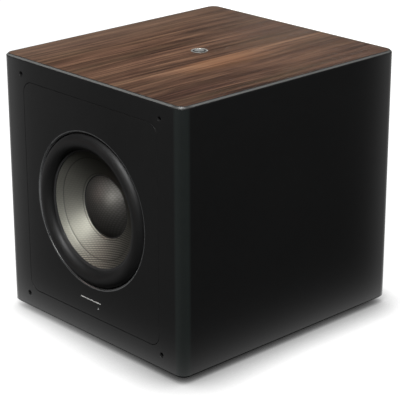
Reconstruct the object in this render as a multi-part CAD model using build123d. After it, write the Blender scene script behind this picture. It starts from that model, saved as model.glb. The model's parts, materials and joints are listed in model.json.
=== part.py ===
from build123d import *
import math
import os

# Powered subwoofer: a sealed box with one front-firing driver and a rear amplifier.
# Frame: +Z up, floor at z = 0 under the feet, the driver faces -Y, millimetres.
# The model is built about the cabinet's middle and shifted along y on export, so that
# y = 0 is the middle of the overall plan, including the surround proud of the front.

# Cabinet
CAB_W, CAB_D, CAB_H = 400.0, 441.0, 405.0   # along x, y, z, without the feet
FOOT_H = 10.0
EDGE_R = 15.0            # upright edges
WALL = 18.0              # side, rear, top and bottom boards
BAFFLE_T = 28.0
BASE_CHAMFER = 3.0
TRIM_H, TRIM_W = 4.0, 4.0
TRIM_CHAMFER = 3.0
PANEL_R = 12.0           # corners of the opening in the top trim
PANEL_GAP = 0.15         # between trim and wood panel, each side
BADGE_R, BADGE_H = 13.0, 0.8
FOOT_X, FOOT_Y = 158, 170

# Front
FASCIA_W, FASCIA_H, FASCIA_T = 300.0, 337.0, 9.0
FASCIA_R = 19.0
FASCIA_GAP = 0.4         # shadow gap round the fascia
FASCIA_RISE = 34         # fascia's lower edge above the cabinet's bottom
SOCKET_DX, SOCKET_DZ = 310.0, 356.0         # grille sockets, hole to hole
SOCKET_R, SOCKET_BORE_R, SOCKET_L = 4.2, 3.0, 14.0
STUD_R, CLIP_R = 2.5, 4.5
BAR_W, BAR_H = 46.0, 1.8
BAR_GROOVE = 1.0
LENS_R = 1.5

# Driver; every depth (_D) is measured inward from the front plane
OPEN_R = 118.3           # opening in the fascia
OPEN_FILLET = 3.6
FLANGE_R = 131.0
FLANGE_D = FASCIA_T
FLANGE_BACK_D = 16.0
HEAD_SEAT_D = FLANGE_D + 3.2
CUTOUT_R = 118.0
SCREW_HOLE_R = 2.75
NUT_BARREL_R = 3.6
LAND_D = 12.5            # surround's landing on the frame
ROLL_MID_R = 104.85      # middle radius of the surround's half roll
ROLL_R = 12.2            # outer radius of the roll's section
ROLL_D = 6.0             # depth of the section's centre
CROWN_D = ROLL_D - ROLL_R
RUBBER_T = 1.3
EDGE_D = 7.3             # face of the cone's flat rim
RIM_R = ROLL_MID_R - ROLL_R + RUBBER_T      # outer radius of that rim
CONE_EDGE_R = 89.6       # where the rim turns into the cone
CONE_T = 1.2
CAP_R = 47.3
CAP_APEX_D, CAP_BASE_D = 11.6, 31.0
FORMER_IN_R, FORMER_R = 32.5, 33.0
GLUE_R = 33.05           # bore of cone neck and spider cuff
COIL_R = 34.2
COIL_D, COIL_END_D = 77.0, 109.0
SPIDER_D = 63.0
TOP_PLATE_D, MAGNET_D = 88.0, 98.0
MAGNET_END_D, YOKE_END_D = 132.0, 142.0
MOTOR_R = 72.0
SPOKES = 6

# Rear amplifier
AMP_W, AMP_H = 240.0, 290.0
PLATE_T = 3
PAN_W, PAN_H = 210.0, 260.0
PAN_DEPTH = 16.0         # the controls sit this far inside the rear face
PAN_FLOOR_T = 2.5
COVER_DEPTH, COVER_T = 60.0, 2
AMP_HOLE_R = 2.1

# Levels and planes
BOTTOM_Z = FOOT_H
TOP_Z = FOOT_H + CAB_H
MID_Z = FOOT_H + CAB_H / 2                  # driver axis and amplifier's middle
SLEEVE_TOP_Z = TOP_Z - TRIM_H               # underside of trim and wood panel
FRONT_Y, REAR_Y = -CAB_D / 2, CAB_D / 2
INNER_X = CAB_W / 2 - WALL
BAFFLE_BACK_Y = FRONT_Y + BAFFLE_T
REAR_INNER_Y = REAR_Y - WALL
FASCIA_BACK_Y = FRONT_Y + FASCIA_T
FASCIA_Z = BOTTOM_Z + FASCIA_RISE + FASCIA_H / 2
BAR_X, BAR_Z = -4.0, BOTTOM_Z + 60.0
LED_X, LED_Z = 13.0, BOTTOM_Z + 50.7
PAN_Y = REAR_Y - PAN_DEPTH                  # outer face of the pan's floor
PAN_BACK_Y = PAN_Y - PAN_FLOOR_T            # its inner face
COVER_Y = PAN_BACK_Y - COVER_DEPTH
PLAN_SHIFT_Y = -CROWN_D / 2


# Helpers ---------------------------------------------------------------------
def box(x0, x1, y0, y1, z0, z1):
    middle = Pos((x0 + x1) / 2, (y0 + y1) / 2, (z0 + z1) / 2)
    return middle * Box(abs(x1 - x0), abs(y1 - y0), abs(z1 - z0))


def block_y(w, h, y0, y1, x, z):
    """Box from y0 to y1, centred on x, z."""
    return box(x - w / 2, x + w / 2, y0, y1, z - h / 2, z + h / 2)


def cyl_y(r, y0, y1, x, z):
    return Pos(x, (y0 + y1) / 2, z) * Rot(90, 0, 0) * Cylinder(r, abs(y1 - y0))


def cyl_z(r, z0, z1, x=0.0, y=0.0):
    return Pos(x, y, (z0 + z1) / 2) * Cylinder(r, abs(z1 - z0))


def along_y(x, y, z):
    """Frame whose local z points to +Y and local y points down."""
    return Pos(x, y, z) * Rot(-90, 0, 0)


def slab_y(w, h, r, y0, y1, x=0.0, z=MID_Z):
    return along_y(x, y0, z) * extrude(RectangleRounded(w, h, r), amount=y1 - y0)


def slab_z(w, d, r, z0, z1):
    return Pos(0, 0, z0) * extrude(RectangleRounded(w, d, r), amount=z1 - z0)


def polygon(*points):
    return make_face(Polyline(*points, close=True).edges())


def joined_face(*segments):
    return make_face([edge for segment in segments for edge in segment.edges()])


def turned(face):
    """Profile in (radius, height) turned about Z."""
    return revolve(Plane.XZ * face, Axis.Z)


def driver_turned(face):
    """Profile in (radius, depth) turned about the driver's axis."""
    return DRIVER * turned(face)


def driver_ring(r_in, r_out, d0, d1):
    return driver_turned(polygon((r_in, d0), (r_out, d0), (r_out, d1), (r_in, d1)))


def cone_y(r0, r1, y0, y1, x, z):
    """Cone of radius r0 at y0 and r1 at y1."""
    profile = polygon((0, 0), (r0, 0), (r1, y1 - y0), (0, y1 - y0))
    return along_y(x, y0, z) * turned(profile)


def hex_prism(r, height):
    return extrude(RegularPolygon(r, 6), amount=height)


def wire(points, r):
    path = Spline(points)
    return sweep(Plane(origin=path @ 0, z_dir=path % 0) * Circle(r), path=path)


def end_edges(shape, axis, end):
    """Edges of the lowest (end = 0) or highest (end = -1) face along an axis."""
    return shape.faces().sort_by(axis)[end].edges()


def single(shape):
    solids = shape.solids()
    return solids[0] if len(solids) == 1 else shape


def group(items):
    return Compound(children=[single(item) for item in items])


def polar(r, count, first):
    angles = [math.radians(first + 360.0 * k / count) for k in range(count)]
    return [(r * math.cos(a), r * math.sin(a)) for a in angles]


def grid(dx, dy, y_mid=0):
    return [(sx * dx, y_mid + sy * dy) for sx in (-1, 1) for sy in (-1, 1)]


pieces = []


def piece(build):
    """Register a function; its name is the name of the piece."""
    pieces.append(build)
    return build


# Driver frame: local z is depth into the cabinet, local y points down
DRIVER = along_y(0, FRONT_Y, MID_Z)

DRIVER_SCREWS = polar(125.0, 8, 22.5)       # (x, height above the driver axis)
MOTOR_SCREWS = polar(52, 6, 30)             # (x, y) in the driver frame
SOCKETS = grid(SOCKET_DX / 2, SOCKET_DZ / 2, MID_Z)     # (x, z), as the next two
CLIPS = [(-137, BOTTOM_Z + 52), (137, BOTTOM_Z + 52),
         (-137, BOTTOM_Z + 353), (137, BOTTOM_Z + 353),
         (-140, MID_Z), (140, MID_Z)]
AMP_SCREWS = (grid(114, 139, MID_Z) + grid(114, 46, MID_Z)
              + [(0, MID_Z + 139), (0, MID_Z - 139)])
FEET = grid(FOOT_X, FOOT_Y)                 # (x, y)


# Cabinet ---------------------------------------------------------------------
@piece
def cabinet_shell():
    """Sleeve of four walls with rounded upright edges and a chamfered base."""
    sleeve = slab_z(CAB_W, CAB_D, EDGE_R, BOTTOM_Z, SLEEVE_TOP_Z)
    sleeve = chamfer(end_edges(sleeve, Axis.Z, 0), BASE_CHAMFER)
    sleeve -= box(-INNER_X, INNER_X, BAFFLE_BACK_Y, REAR_INNER_Y, BOTTOM_Z - 5, SLEEVE_TOP_Z + 5)
    # front: fascia rebate, frame rebate, cutout and the small holes
    sleeve -= slab_y(FASCIA_W + 2 * FASCIA_GAP, FASCIA_H + 2 * FASCIA_GAP,
                     FASCIA_R + FASCIA_GAP, FRONT_Y - 2, FASCIA_BACK_Y, z=FASCIA_Z)
    sleeve -= cyl_y(FLANGE_R + 0.5, FRONT_Y, FRONT_Y + FLANGE_BACK_D + 1, 0, MID_Z)
    sleeve -= cyl_y(CUTOUT_R, FRONT_Y, BAFFLE_BACK_Y + 3, 0, MID_Z)
    for x, up in DRIVER_SCREWS:
        sleeve -= cyl_y(SCREW_HOLE_R, FRONT_Y + 15, BAFFLE_BACK_Y + 1, x, MID_Z + up)
        sleeve -= cyl_y(NUT_BARREL_R, FRONT_Y + 20, BAFFLE_BACK_Y + 1, x, MID_Z + up)
    for x, z in SOCKETS:
        sleeve -= cyl_y(SOCKET_R, FRONT_Y - 1, FRONT_Y + SOCKET_L, x, z)
    for x, z in CLIPS:
        sleeve -= cyl_y(CLIP_R, FASCIA_BACK_Y - 1, FASCIA_BACK_Y + 13, x, z)
    sleeve -= block_y(22, 14, FASCIA_BACK_Y - 1, FASCIA_BACK_Y + 5, LED_X, LED_Z)
    sleeve -= cyl_y(3.0, FASCIA_BACK_Y, BAFFLE_BACK_Y + 1, LED_X, LED_Z)
    # rear: rebate and cutout for the amplifier, pilot holes
    sleeve -= slab_y(AMP_W + 0.6, AMP_H + 0.6, 8.3, REAR_Y - 4.0, REAR_Y + 2)
    sleeve -= slab_y(PAN_W + 6, PAN_H + 6, 8.0, REAR_INNER_Y - 1, REAR_Y)
    for x, z in AMP_SCREWS:
        sleeve -= cyl_y(1.9, REAR_INNER_Y + 1.3, REAR_Y, x, z)
    return sleeve


@piece
def bottom_board():
    board = box(-INNER_X, INNER_X, BAFFLE_BACK_Y, REAR_INNER_Y, BOTTOM_Z, BOTTOM_Z + WALL)
    for x, y in FEET:
        board -= cyl_z(2.0, BOTTOM_Z - 1, BOTTOM_Z + 13, x, y)
    return board


@piece
def top_board():
    return box(-INNER_X, INNER_X, BAFFLE_BACK_Y, REAR_INNER_Y, SLEEVE_TOP_Z - WALL, SLEEVE_TOP_Z)


@piece
def top_trim():
    """Thin metal frame round the wood panel."""
    trim = slab_z(CAB_W, CAB_D, EDGE_R, SLEEVE_TOP_Z, TOP_Z)
    trim = chamfer(end_edges(trim, Axis.Z, -1), TRIM_CHAMFER)
    return trim - slab_z(CAB_W - 2 * TRIM_W, CAB_D - 2 * TRIM_W, PANEL_R,
                         SLEEVE_TOP_Z - 1, TOP_Z + 1)


@piece
def top_veneer_panel():
    inset = 2 * (TRIM_W + PANEL_GAP)
    panel = slab_z(CAB_W - inset, CAB_D - inset, PANEL_R - PANEL_GAP, SLEEVE_TOP_Z, TOP_Z)
    return panel - cyl_z(1.6, SLEEVE_TOP_Z - 1, TOP_Z + 1)


@piece
def top_badge():
    """Round badge with a stepped ring on its face and a stud below."""
    profile = polygon(
        (0, -3.0), (1.5, -3.0), (1.5, 0), (BADGE_R, 0), (BADGE_R, 0.45),
        (BADGE_R - 0.35, BADGE_H), (BADGE_R - 1.9, BADGE_H), (BADGE_R - 2.1, 0.5),
        (BADGE_R - 3.1, 0.5), (BADGE_R - 3.3, BADGE_H), (0, BADGE_H))
    return Pos(0, 0, TOP_Z) * turned(profile)


@piece
def window_brace():
    """Board across the middle of the box with a rounded window."""
    brace = box(-INNER_X, INNER_X, 20, 20 + WALL, BOTTOM_Z + WALL, SLEEVE_TOP_Z - WALL)
    return brace - slab_y(250, 250, 40, 15, 45)


@piece
def rubber_feet():
    profile = polygon((2.2, FOOT_H), (2.2, 6.0), (6.5, 6.0), (6.5, 0), (18.8, 0),
                      (19.6, 0.8), (20.5, FOOT_H - 0.6), (20.5, FOOT_H))
    return group(Pos(x, y, 0) * turned(profile) for x, y in FEET)


@piece
def foot_screws():
    profile = polygon((0, 3.4), (4.1, 3.4), (4.3, 4.2), (4.1, 6.0), (1.95, 6.0),
                      (1.95, 21.0), (0, 22.6))
    screws = []
    for x, y in FEET:
        screw = Pos(x, y, 0) * turned(profile)
        # cross slot
        screw -= box(x - 2.4, x + 2.4, y - 0.4, y + 0.4, 3, 4.6)
        screw -= box(x - 0.4, x + 0.4, y - 2.4, y + 2.4, 3, 4.6)
        screws.append(screw)
    return group(screws)


@piece
def damping_wadding():
    """Lining sheets on the side walls, before and behind the brace, and on the bottom."""
    near_x, far_x = INNER_X - 21, INNER_X - 1
    sheets = []
    for y0, y1 in ((BAFFLE_BACK_Y + 8, 15), (43, REAR_INNER_Y - 6)):
        for x0, x1 in ((-far_x, -near_x), (near_x, far_x)):
            sheets.append(box(x0, x1, y0, y1, 50, 375))
    floor_z = BOTTOM_Z + WALL
    sheets.append(box(-150, 150, BAFFLE_BACK_Y + 20, 15, floor_z + 1, floor_z + 19))
    return group(sheets)


# Front -----------------------------------------------------------------------
@piece
def front_fascia():
    """Plate with a rounded driver opening, bar groove, LED hole and studs behind."""
    fascia = slab_y(FASCIA_W, FASCIA_H, FASCIA_R, FRONT_Y, FASCIA_BACK_Y, z=FASCIA_Z)
    fascia = chamfer(end_edges(fascia, Axis.Y, 0), 0.5)
    lip_r = OPEN_R + OPEN_FILLET
    half = math.sqrt(0.5)
    fascia -= driver_turned(joined_face(
        Polyline((0, -1), (lip_r, -1), (lip_r, 0)),
        ThreePointArc((lip_r, 0), (lip_r - OPEN_FILLET * half, OPEN_FILLET * (1 - half)),
                      (OPEN_R, OPEN_FILLET)),
        Polyline((OPEN_R, OPEN_FILLET), (OPEN_R, FASCIA_T + 1), (0, FASCIA_T + 1), (0, -1))))
    fascia -= block_y(BAR_W, BAR_H, FRONT_Y - 1, FRONT_Y + BAR_GROOVE, BAR_X, BAR_Z)
    fascia -= cyl_y(LENS_R, FRONT_Y - 1, FASCIA_BACK_Y + 1, LED_X, LED_Z)
    for x, z in CLIPS:
        fascia += cyl_y(STUD_R, FASCIA_BACK_Y - 1, FASCIA_BACK_Y + 11, x, z)
    return fascia


@piece
def fascia_clips():
    return group(cyl_y(CLIP_R, FASCIA_BACK_Y + 0.2, FASCIA_BACK_Y + 12.5, x, z)
                 - cyl_y(STUD_R, FASCIA_BACK_Y, FASCIA_BACK_Y + 11.2, x, z)
                 for x, z in CLIPS)


@piece
def grille_sockets():
    face_y, end_y = FRONT_Y + 0.1, FRONT_Y + SOCKET_L
    sockets = []
    for x, z in SOCKETS:
        socket = cyl_y(SOCKET_R, face_y, end_y, x, z)
        socket -= cyl_y(SOCKET_BORE_R, FRONT_Y - 1, end_y - 1.5, x, z)
        socket -= cone_y(SOCKET_BORE_R + 0.5, SOCKET_BORE_R, face_y, face_y + 0.5, x, z)
        sockets.append(socket)
    return group(sockets)


@piece
def accent_bar():
    bar = block_y(BAR_W, BAR_H, FRONT_Y - 0.2, FRONT_Y + BAR_GROOVE, BAR_X, BAR_Z)
    return chamfer(end_edges(bar, Axis.Y, 0), 0.25)


@piece
def status_led_lens():
    lens = cyl_y(LENS_R, FRONT_Y + 0.1, FASCIA_BACK_Y, LED_X, LED_Z)
    return fillet(end_edges(lens, Axis.Y, 0), 0.5)


@piece
def status_led_board():
    board = block_y(20, 12, FASCIA_BACK_Y + 2, FASCIA_BACK_Y + 3.6, LED_X, LED_Z)
    return board + block_y(3.2, 3.2, FASCIA_BACK_Y + 0.1, FASCIA_BACK_Y + 2.5, LED_X, LED_Z)


# Driver ----------------------------------------------------------------------
def ring_between_spokes(ring, spoke_w, depth):
    """A ring cutter with the spokes left out of it."""
    for k in range(SPOKES):
        ring -= Rot(0, 0, 360 / SPOKES * k) * Pos(75, 0, depth) * Box(110, spoke_w, 60)
    return ring


@piece
def driver_basket():
    """Cast frame: flange, bowl with windows, spider ledge and motor ring."""
    basket = turned(polygon(
        (FLANGE_R, FLANGE_D), (FLANGE_R, FLANGE_BACK_D), (116.5, FLANGE_BACK_D), (115.0, 24),
        (109.5, 32), (87.5, 60), (86.5, 66), (83.0, TOP_PLATE_D), (38.5, TOP_PLATE_D),
        (38.5, 81), (66, 81), (78.5, 79), (80.0, 68.5), (66, 68.5), (66, SPIDER_D),
        (80.0, SPIDER_D), (80.5, 60), (103.0, 31), (106.0, 24), (106.0, LAND_D),
        (119.3, LAND_D), (119.3, FLANGE_D)))
    windows = cyl_z(126, 27, 56) - cyl_z(20, 11.5, 71.5)
    vents = cyl_z(100, 70, 78) - cyl_z(70, 69, 79)
    basket -= ring_between_spokes(windows, 17, 41)
    basket -= ring_between_spokes(vents, 26, 74)
    # strengthening rib on each spoke
    rib_face = polygon((108.0, 28), (113.2, 28), (90.6, 62), (85.5, 62))
    for k in range(SPOKES):
        rib = extrude(Plane.XZ * rib_face, amount=2.2, both=True)
        basket += Rot(0, 0, 360 / SPOKES * k) * rib
    for x, up in DRIVER_SCREWS:
        basket -= cyl_z(SCREW_HOLE_R, 7, 19, x, -up)
        basket -= cyl_z(5.0, FLANGE_D - 0.2, HEAD_SEAT_D, x, -up)
    for x, y in MOTOR_SCREWS:
        basket -= cyl_z(2.7, 79, 89, x, y)
    # pad for the terminal block, on the lower side
    basket += Pos(0, 89.0, 61) * Box(28, 8.0, 9.0)
    return DRIVER * basket


@piece
def basket_gasket():
    gasket = driver_ring(118.5, 130.5, FLANGE_BACK_D, FLANGE_BACK_D + 1)
    seat_y = FRONT_Y + FLANGE_BACK_D
    for x, up in DRIVER_SCREWS:
        gasket -= cyl_y(SCREW_HOLE_R, seat_y - 1, seat_y + 2, x, MID_Z + up)
    return gasket


@piece
def surround():
    """Half-roll rubber ring with lands on the frame and on the cone's rim."""
    roll_in, roll_out = ROLL_MID_R - ROLL_R, ROLL_MID_R + ROLL_R
    leg_r = roll_out - RUBBER_T
    leg_d = LAND_D - RUBBER_T
    return driver_turned(joined_face(
        Polyline((roll_in, ROLL_D), (89.3, ROLL_D), (89.0, ROLL_D + 0.3), (89.0, EDGE_D),
                 (RIM_R, EDGE_D), (RIM_R, ROLL_D)),
        ThreePointArc((RIM_R, ROLL_D), (ROLL_MID_R, CROWN_D + RUBBER_T), (leg_r, ROLL_D)),
        Polyline((leg_r, ROLL_D), (leg_r, leg_d), (112.5, leg_d), (112.5, LAND_D),
                 (118.9, LAND_D), (118.9, leg_d), (roll_out, leg_d), (roll_out, ROLL_D)),
        ThreePointArc((roll_out, ROLL_D), (ROLL_MID_R, CROWN_D), (roll_in, ROLL_D))))


def circle_through(p1, p2, p3):
    """Centre and radius of the circle through three points."""
    (x1, y1), (x2, y2), (x3, y3) = p1, p2, p3
    k = 2 * (x1 * (y2 - y3) + x2 * (y3 - y1) + x3 * (y1 - y2))
    q1, q2, q3 = x1 * x1 + y1 * y1, x2 * x2 + y2 * y2, x3 * x3 + y3 * y3
    cx = (q1 * (y2 - y3) + q2 * (y3 - y1) + q3 * (y1 - y2)) / k
    cy = (q1 * (x3 - x2) + q2 * (x1 - x3) + q3 * (x2 - x1)) / k
    return cx, cy, math.hypot(x1 - cx, y1 - cy)


@piece
def cone():
    """Flared cone with a flat rim and a short neck on the former."""
    front = [(CONE_EDGE_R, EDGE_D), (66.0, 19.9), (36.6, 38.2)]
    centre_r, centre_d, arc_r = circle_through(*front)
    # the back arc is concentric, one thickness further in
    side = 1 if centre_d < 20 else -1
    scale = 1 + side * CONE_T / arc_r
    back = [(centre_r + (r - centre_r) * scale, centre_d + (d - centre_d) * scale)
            for r, d in front]
    rim_back_d = EDGE_D + CONE_T
    return driver_turned(joined_face(
        Line((RIM_R, EDGE_D), front[0]),
        ThreePointArc(*front),
        Polyline(front[2], (GLUE_R, 39.6), (GLUE_R, 43.0), (34.3, 43.0), (34.3, 41.2), back[2]),
        ThreePointArc(back[2], back[1], back[0]),
        Polyline(back[0], (91.2, rim_back_d), (RIM_R, rim_back_d), (RIM_R, EDGE_D))))


@piece
def dust_cap():
    """Spherical shell, 1 mm thick."""
    thickness = 1.0
    height = CAP_BASE_D - CAP_APEX_D
    outer_r = (CAP_R ** 2 + height ** 2) / (2 * height)
    inner_r = outer_r - thickness
    centre_d = CAP_APEX_D + outer_r

    def on_sphere(r, sphere_r):
        return r, centre_d - math.sqrt(sphere_r * sphere_r - r * r)

    apex, base = (0, CAP_APEX_D), (CAP_R, CAP_BASE_D)
    inner_apex = (0, CAP_APEX_D + thickness)
    inner_base = on_sphere(CAP_R - 0.8, inner_r)
    return driver_turned(joined_face(
        ThreePointArc(apex, on_sphere(25, outer_r), base),
        Line(base, inner_base),
        ThreePointArc(inner_base, on_sphere(25, inner_r), inner_apex),
        Line(inner_apex, apex)))


@piece
def voice_coil_former():
    return driver_ring(FORMER_IN_R, FORMER_R, 37, COIL_END_D + 1.5)


@piece
def voice_coil():
    return driver_ring(FORMER_R, COIL_R, COIL_D, COIL_END_D)


@piece
def spider():
    """Corrugated ring with a cuff on the former and a flat land on the frame."""
    waves, steps_per_wave, amplitude = 5, 8, 1.7
    wave_in, wave_out = 36.5, 65.0
    half_t = 0.3
    land_r = 79.5
    mid_d = SPIDER_D - half_t
    steps = waves * steps_per_wave
    middle = [(wave_in + (wave_out - wave_in) * k / steps,
               mid_d + amplitude * math.sin(2 * math.pi * waves * k / steps))
              for k in range(steps + 1)]
    front = [(GLUE_R, 61.0), (33.7, 61.0), (34.2, mid_d - half_t)]
    front += [(r, d - half_t) for r, d in middle]
    front.append((land_r, mid_d - half_t))
    back = [(land_r, SPIDER_D)] + [(r, d + half_t) for r, d in reversed(middle)]
    back.append((GLUE_R, SPIDER_D))
    return driver_turned(polygon(*front, *back))


@piece
def motor_top_plate():
    plate = driver_ring(35.5, 68, TOP_PLATE_D, MAGNET_D)
    for x, y in MOTOR_SCREWS:
        plate -= DRIVER * cyl_z(2.5, 87, 97, x, y)
    return plate


@piece
def magnet_rings():
    joint_d = (MAGNET_D + MAGNET_END_D) / 2
    return group([driver_ring(42, MOTOR_R, MAGNET_D, joint_d - 0.1),
                  driver_ring(42, MOTOR_R, joint_d + 0.1, MAGNET_END_D)])


@piece
def t_yoke():
    """Centre pole with a through bore, and its back plate."""
    return driver_turned(polygon(
        (10, 86), (30.6, 86), (31.8, 87.2), (31.8, MAGNET_END_D), (68, MAGNET_END_D),
        (68, YOKE_END_D - 1.5), (66.5, YOKE_END_D), (14, YOKE_END_D), (10, YOKE_END_D - 4)))


@piece
def shorting_ring():
    return driver_ring(36.8, 41.6, 100, MAGNET_END_D)


@piece
def magnet_boot():
    """Cup round the magnets, turned in over the yoke's back."""
    return driver_turned(polygon(
        (72.3, 96.5), (75, 96.5), (75, YOKE_END_D + 1.2), (73.8, YOKE_END_D + 2.4),
        (60, YOKE_END_D + 2.4), (60, YOKE_END_D + 0.2), (72.3, YOKE_END_D + 0.2)))


@piece
def driver_screws():
    profile = polygon(
        (0, FLANGE_D + 0.5), (2.2, FLANGE_D + 0.55), (4.2, FLANGE_D + 1.3),
        (4.75, FLANGE_D + 2.4), (4.75, HEAD_SEAT_D), (2.5, HEAD_SEAT_D),
        (2.5, 33.5), (2.1, 34.2), (0, 34.2))
    screw = turned(profile)
    screw -= Pos(0, 0, FLANGE_D + 0.4) * hex_prism(1.73, 1.8)
    return group(DRIVER * Pos(x, -up, 0) * screw for x, up in DRIVER_SCREWS)


@piece
def driver_tee_nuts():
    """Barrel in the baffle with a flange on its back face."""
    nut = turned(polygon(
        (2.5, 20), (NUT_BARREL_R, 20), (NUT_BARREL_R, BAFFLE_T), (6.9, BAFFLE_T),
        (6.9, BAFFLE_T + 1.4), (2.5, BAFFLE_T + 1.4)))
    return group(DRIVER * Pos(x, -up, 0) * nut for x, up in DRIVER_SCREWS)


@piece
def motor_screws():
    screw = turned(polygon((0, 76.2), (4.0, 76.2), (4.4, 76.6), (4.4, 81), (2.5, 81),
                           (2.5, 96), (0, 96)))
    screw -= Pos(0, 0, 76) * hex_prism(2.3, 2.6)
    return group(DRIVER * Pos(x, y, 0) * screw for x, y in MOTOR_SCREWS)


@piece
def terminal_block():
    """Block below the frame with two tabs behind and two lugs in front."""
    y = 95.5
    block = Pos(0, y, 61) * Box(27, 5.0, 11)
    for side in (-1, 1):
        block += Pos(side * 9, y, 70) * Box(6.3, 0.9, 9)
        block += Pos(side * 9, y, 55.1) * Box(3.0, 0.9, 1.6)
    return DRIVER * block


@piece
def tinsel_leads():
    """Flexible leads from the terminal block to the cone."""
    # distance either side of the middle, distance below the axis, depth
    stations = [(9, 95.5, 53.2), (9.6, 86.5, 46.8), (10.6, 72, 46.6),
                (12.0, 58.5, 41.0), (12.5, 50.5, 31.9)]
    return group(DRIVER * wire([(side * x, y, d) for x, y, d in stations], 0.9)
                 for side in (-1, 1))


@piece
def driver_cable():
    """Two wires from the amplifier to the driver's terminals."""
    # x of the pair's middle, offset of each wire, y, z
    stations = [(30, 2, 150, 112), (30, 2, 128, 111), (16, 2, 80, 103), (6, 2, 29, 99),
                (0, 2.2, -60, 101), (0, 6.5, -125, 113), (0, 9, -145.5, 117.0)]
    return group(wire([(x + side * offset, y, z) for x, offset, y, z in stations], 1.5)
                 for side in (-1, 1))


# Rear amplifier --------------------------------------------------------------
POT_Z = MID_Z + 96
VOLUME_X, CROSSOVER_X = -60.0, 14.0
POT_X = (VOLUME_X, CROSSOVER_X)
BUSH_R = 4.5
SHAFT_R = 3.0
SWITCH_Z = MID_Z - 100
PHASE_X, MODE_X = -76.0, -30.0
RCA_Z = MID_Z - 62
RCA_X = (-84.0, -58.0, -32.0)
MAINS_X, MAINS_Z = 60.0, MID_Z - 84
ROCKER_Z, INLET_Z, FUSE_Z = MAINS_Z + 18.5, MAINS_Z - 2.0, MAINS_Z - 20.5
ROCKER_Y = PAN_Y - 2.0   # rocker's axle
ROCKER_TILT = 8.0
PIN_W, PIN_H = 2.0, 4.2
PINS = [(MAINS_X + dx, INLET_Z + dz) for dx, dz in ((-7.0, -1.6), (7.0, -1.6), (0.0, 2.6))]
TRANSFORMER_X, TRANSFORMER_Z = -45, MID_Z - 75
TRANSFORMER = along_y(TRANSFORMER_X, COVER_Y + COVER_T, TRANSFORMER_Z)


@piece
def amp_plate():
    """Die-cast pan with an outer flange."""
    plate = slab_y(AMP_W, AMP_H, 8, REAR_Y - PLATE_T, REAR_Y)
    plate = chamfer(end_edges(plate, Axis.Y, -1), 0.6)
    plate += slab_y(PAN_W, PAN_H, 10, PAN_BACK_Y, REAR_Y - 2)
    plate -= slab_y(PAN_W - 5, PAN_H - 5, 7.5, PAN_Y, REAR_Y + 1)
    for x, z in AMP_SCREWS:
        plate -= cyl_y(AMP_HOLE_R, REAR_Y - 5, REAR_Y + 1, x, z)
        plate -= cone_y(AMP_HOLE_R, 4.2, REAR_Y - 2.3, REAR_Y + 0.05, x, z)
    # openings through the pan's floor
    y0, y1 = PAN_BACK_Y - 1, PAN_Y + 1
    for x in POT_X:
        plate -= cyl_y(BUSH_R + 0.1, y0, y1, x, POT_Z)
    for x in (PHASE_X, MODE_X):
        plate -= block_y(13.2, 4.8, y0, y1, x, SWITCH_Z)
    for x in RCA_X:
        plate -= cyl_y(4.9, y0, y1, x, RCA_Z)
    return plate - slab_y(44.4, 54.4, 1.5, y0, y1, MAINS_X, MAINS_Z)


@piece
def amp_gasket():
    gasket = slab_y(AMP_W - 1, AMP_H - 1, 7.5, REAR_Y - 4, REAR_Y - PLATE_T)
    gasket -= slab_y(PAN_W + 5, PAN_H + 5, 8, REAR_Y - 5, REAR_Y - 2)
    for x, z in AMP_SCREWS:
        gasket -= cyl_y(AMP_HOLE_R, REAR_Y - 5, REAR_Y - 2, x, z)
    return gasket


@piece
def amp_screws():
    """Countersunk screws with a hexagon socket."""
    profile = polygon((0, 0.15), (3.95, 0.15), (1.9, 2.25), (1.9, 15.5), (0, 16.5))
    screw = turned(profile) - hex_prism(1.45, 1.8)
    return group(Pos(x, REAR_Y, z) * Rot(90, 0, 0) * screw for x, z in AMP_SCREWS)


@piece
def heat_sink():
    """Finned plate on the pan's floor."""
    width, fins, fin_t = 174.0, 20, 2.0
    z0, z1 = MID_Z - 36, MID_Z + 66
    sink = box(-width / 2, width / 2, PAN_Y, PAN_Y + 3, z0, z1)
    for k in range(fins):
        x = -width / 2 + fin_t / 2 + k * (width - fin_t) / (fins - 1)
        sink += box(x - fin_t / 2, x + fin_t / 2, PAN_Y + 2, PAN_Y + 13.5, z0, z1)
    return sink


@piece
def amp_back_box():
    """Cover behind the electronics, with holes for the cable and the transformer bolt."""
    cover = slab_y(PAN_W - 4, PAN_H - 4, 8, COVER_Y, PAN_BACK_Y)
    cover -= slab_y(PAN_W - 8, PAN_H - 8, 6, COVER_Y + COVER_T, PAN_BACK_Y + 1)
    cover -= cyl_y(4.4, COVER_Y - 1, COVER_Y + 3, 30, 111.5)
    return cover - cyl_y(3.1, COVER_Y - 1, COVER_Y + 3, TRANSFORMER_X, TRANSFORMER_Z)


@piece
def toroidal_transformer():
    return TRANSFORMER * turned(polygon(
        (15, 0.6), (37, 0.6), (41, 4.5), (41, 28.5), (37, 32.4), (15, 32.4),
        (12.5, 29.5), (12.5, 3.5)))


@piece
def transformer_bolt():
    """Bolt with its head outside the cover and a dished washer on the transformer."""
    return TRANSFORMER * turned(polygon(
        (0, -5.5), (5, -5.5), (5, -2.0), (3, -2.0), (3, 33.2), (18, 33.2), (24, 32.6),
        (24.4, 33.6), (18, 34.8), (5, 34.8), (5, 39), (0, 39)))


@piece
def power_board():
    """Circuit board on four posts."""
    board = box(-92, 92, PAN_BACK_Y - 18, PAN_BACK_Y - 16.4, MID_Z - 32, MID_Z + 68)
    for z in (MID_Z - 26, MID_Z + 62):
        for x in (-86, 86):
            board += cyl_y(3.0, PAN_BACK_Y - 16.5, PAN_BACK_Y, x, z)
    return board


@piece
def reservoir_capacitors():
    cans = []
    for z in (MID_Z + 2, MID_Z + 38):
        can = cyl_y(15, PAN_BACK_Y - 54, PAN_BACK_Y - 18, -64, z)
        cans.append(fillet(end_edges(can, Axis.Y, 0), 1.5))
    return group(cans)


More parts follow.
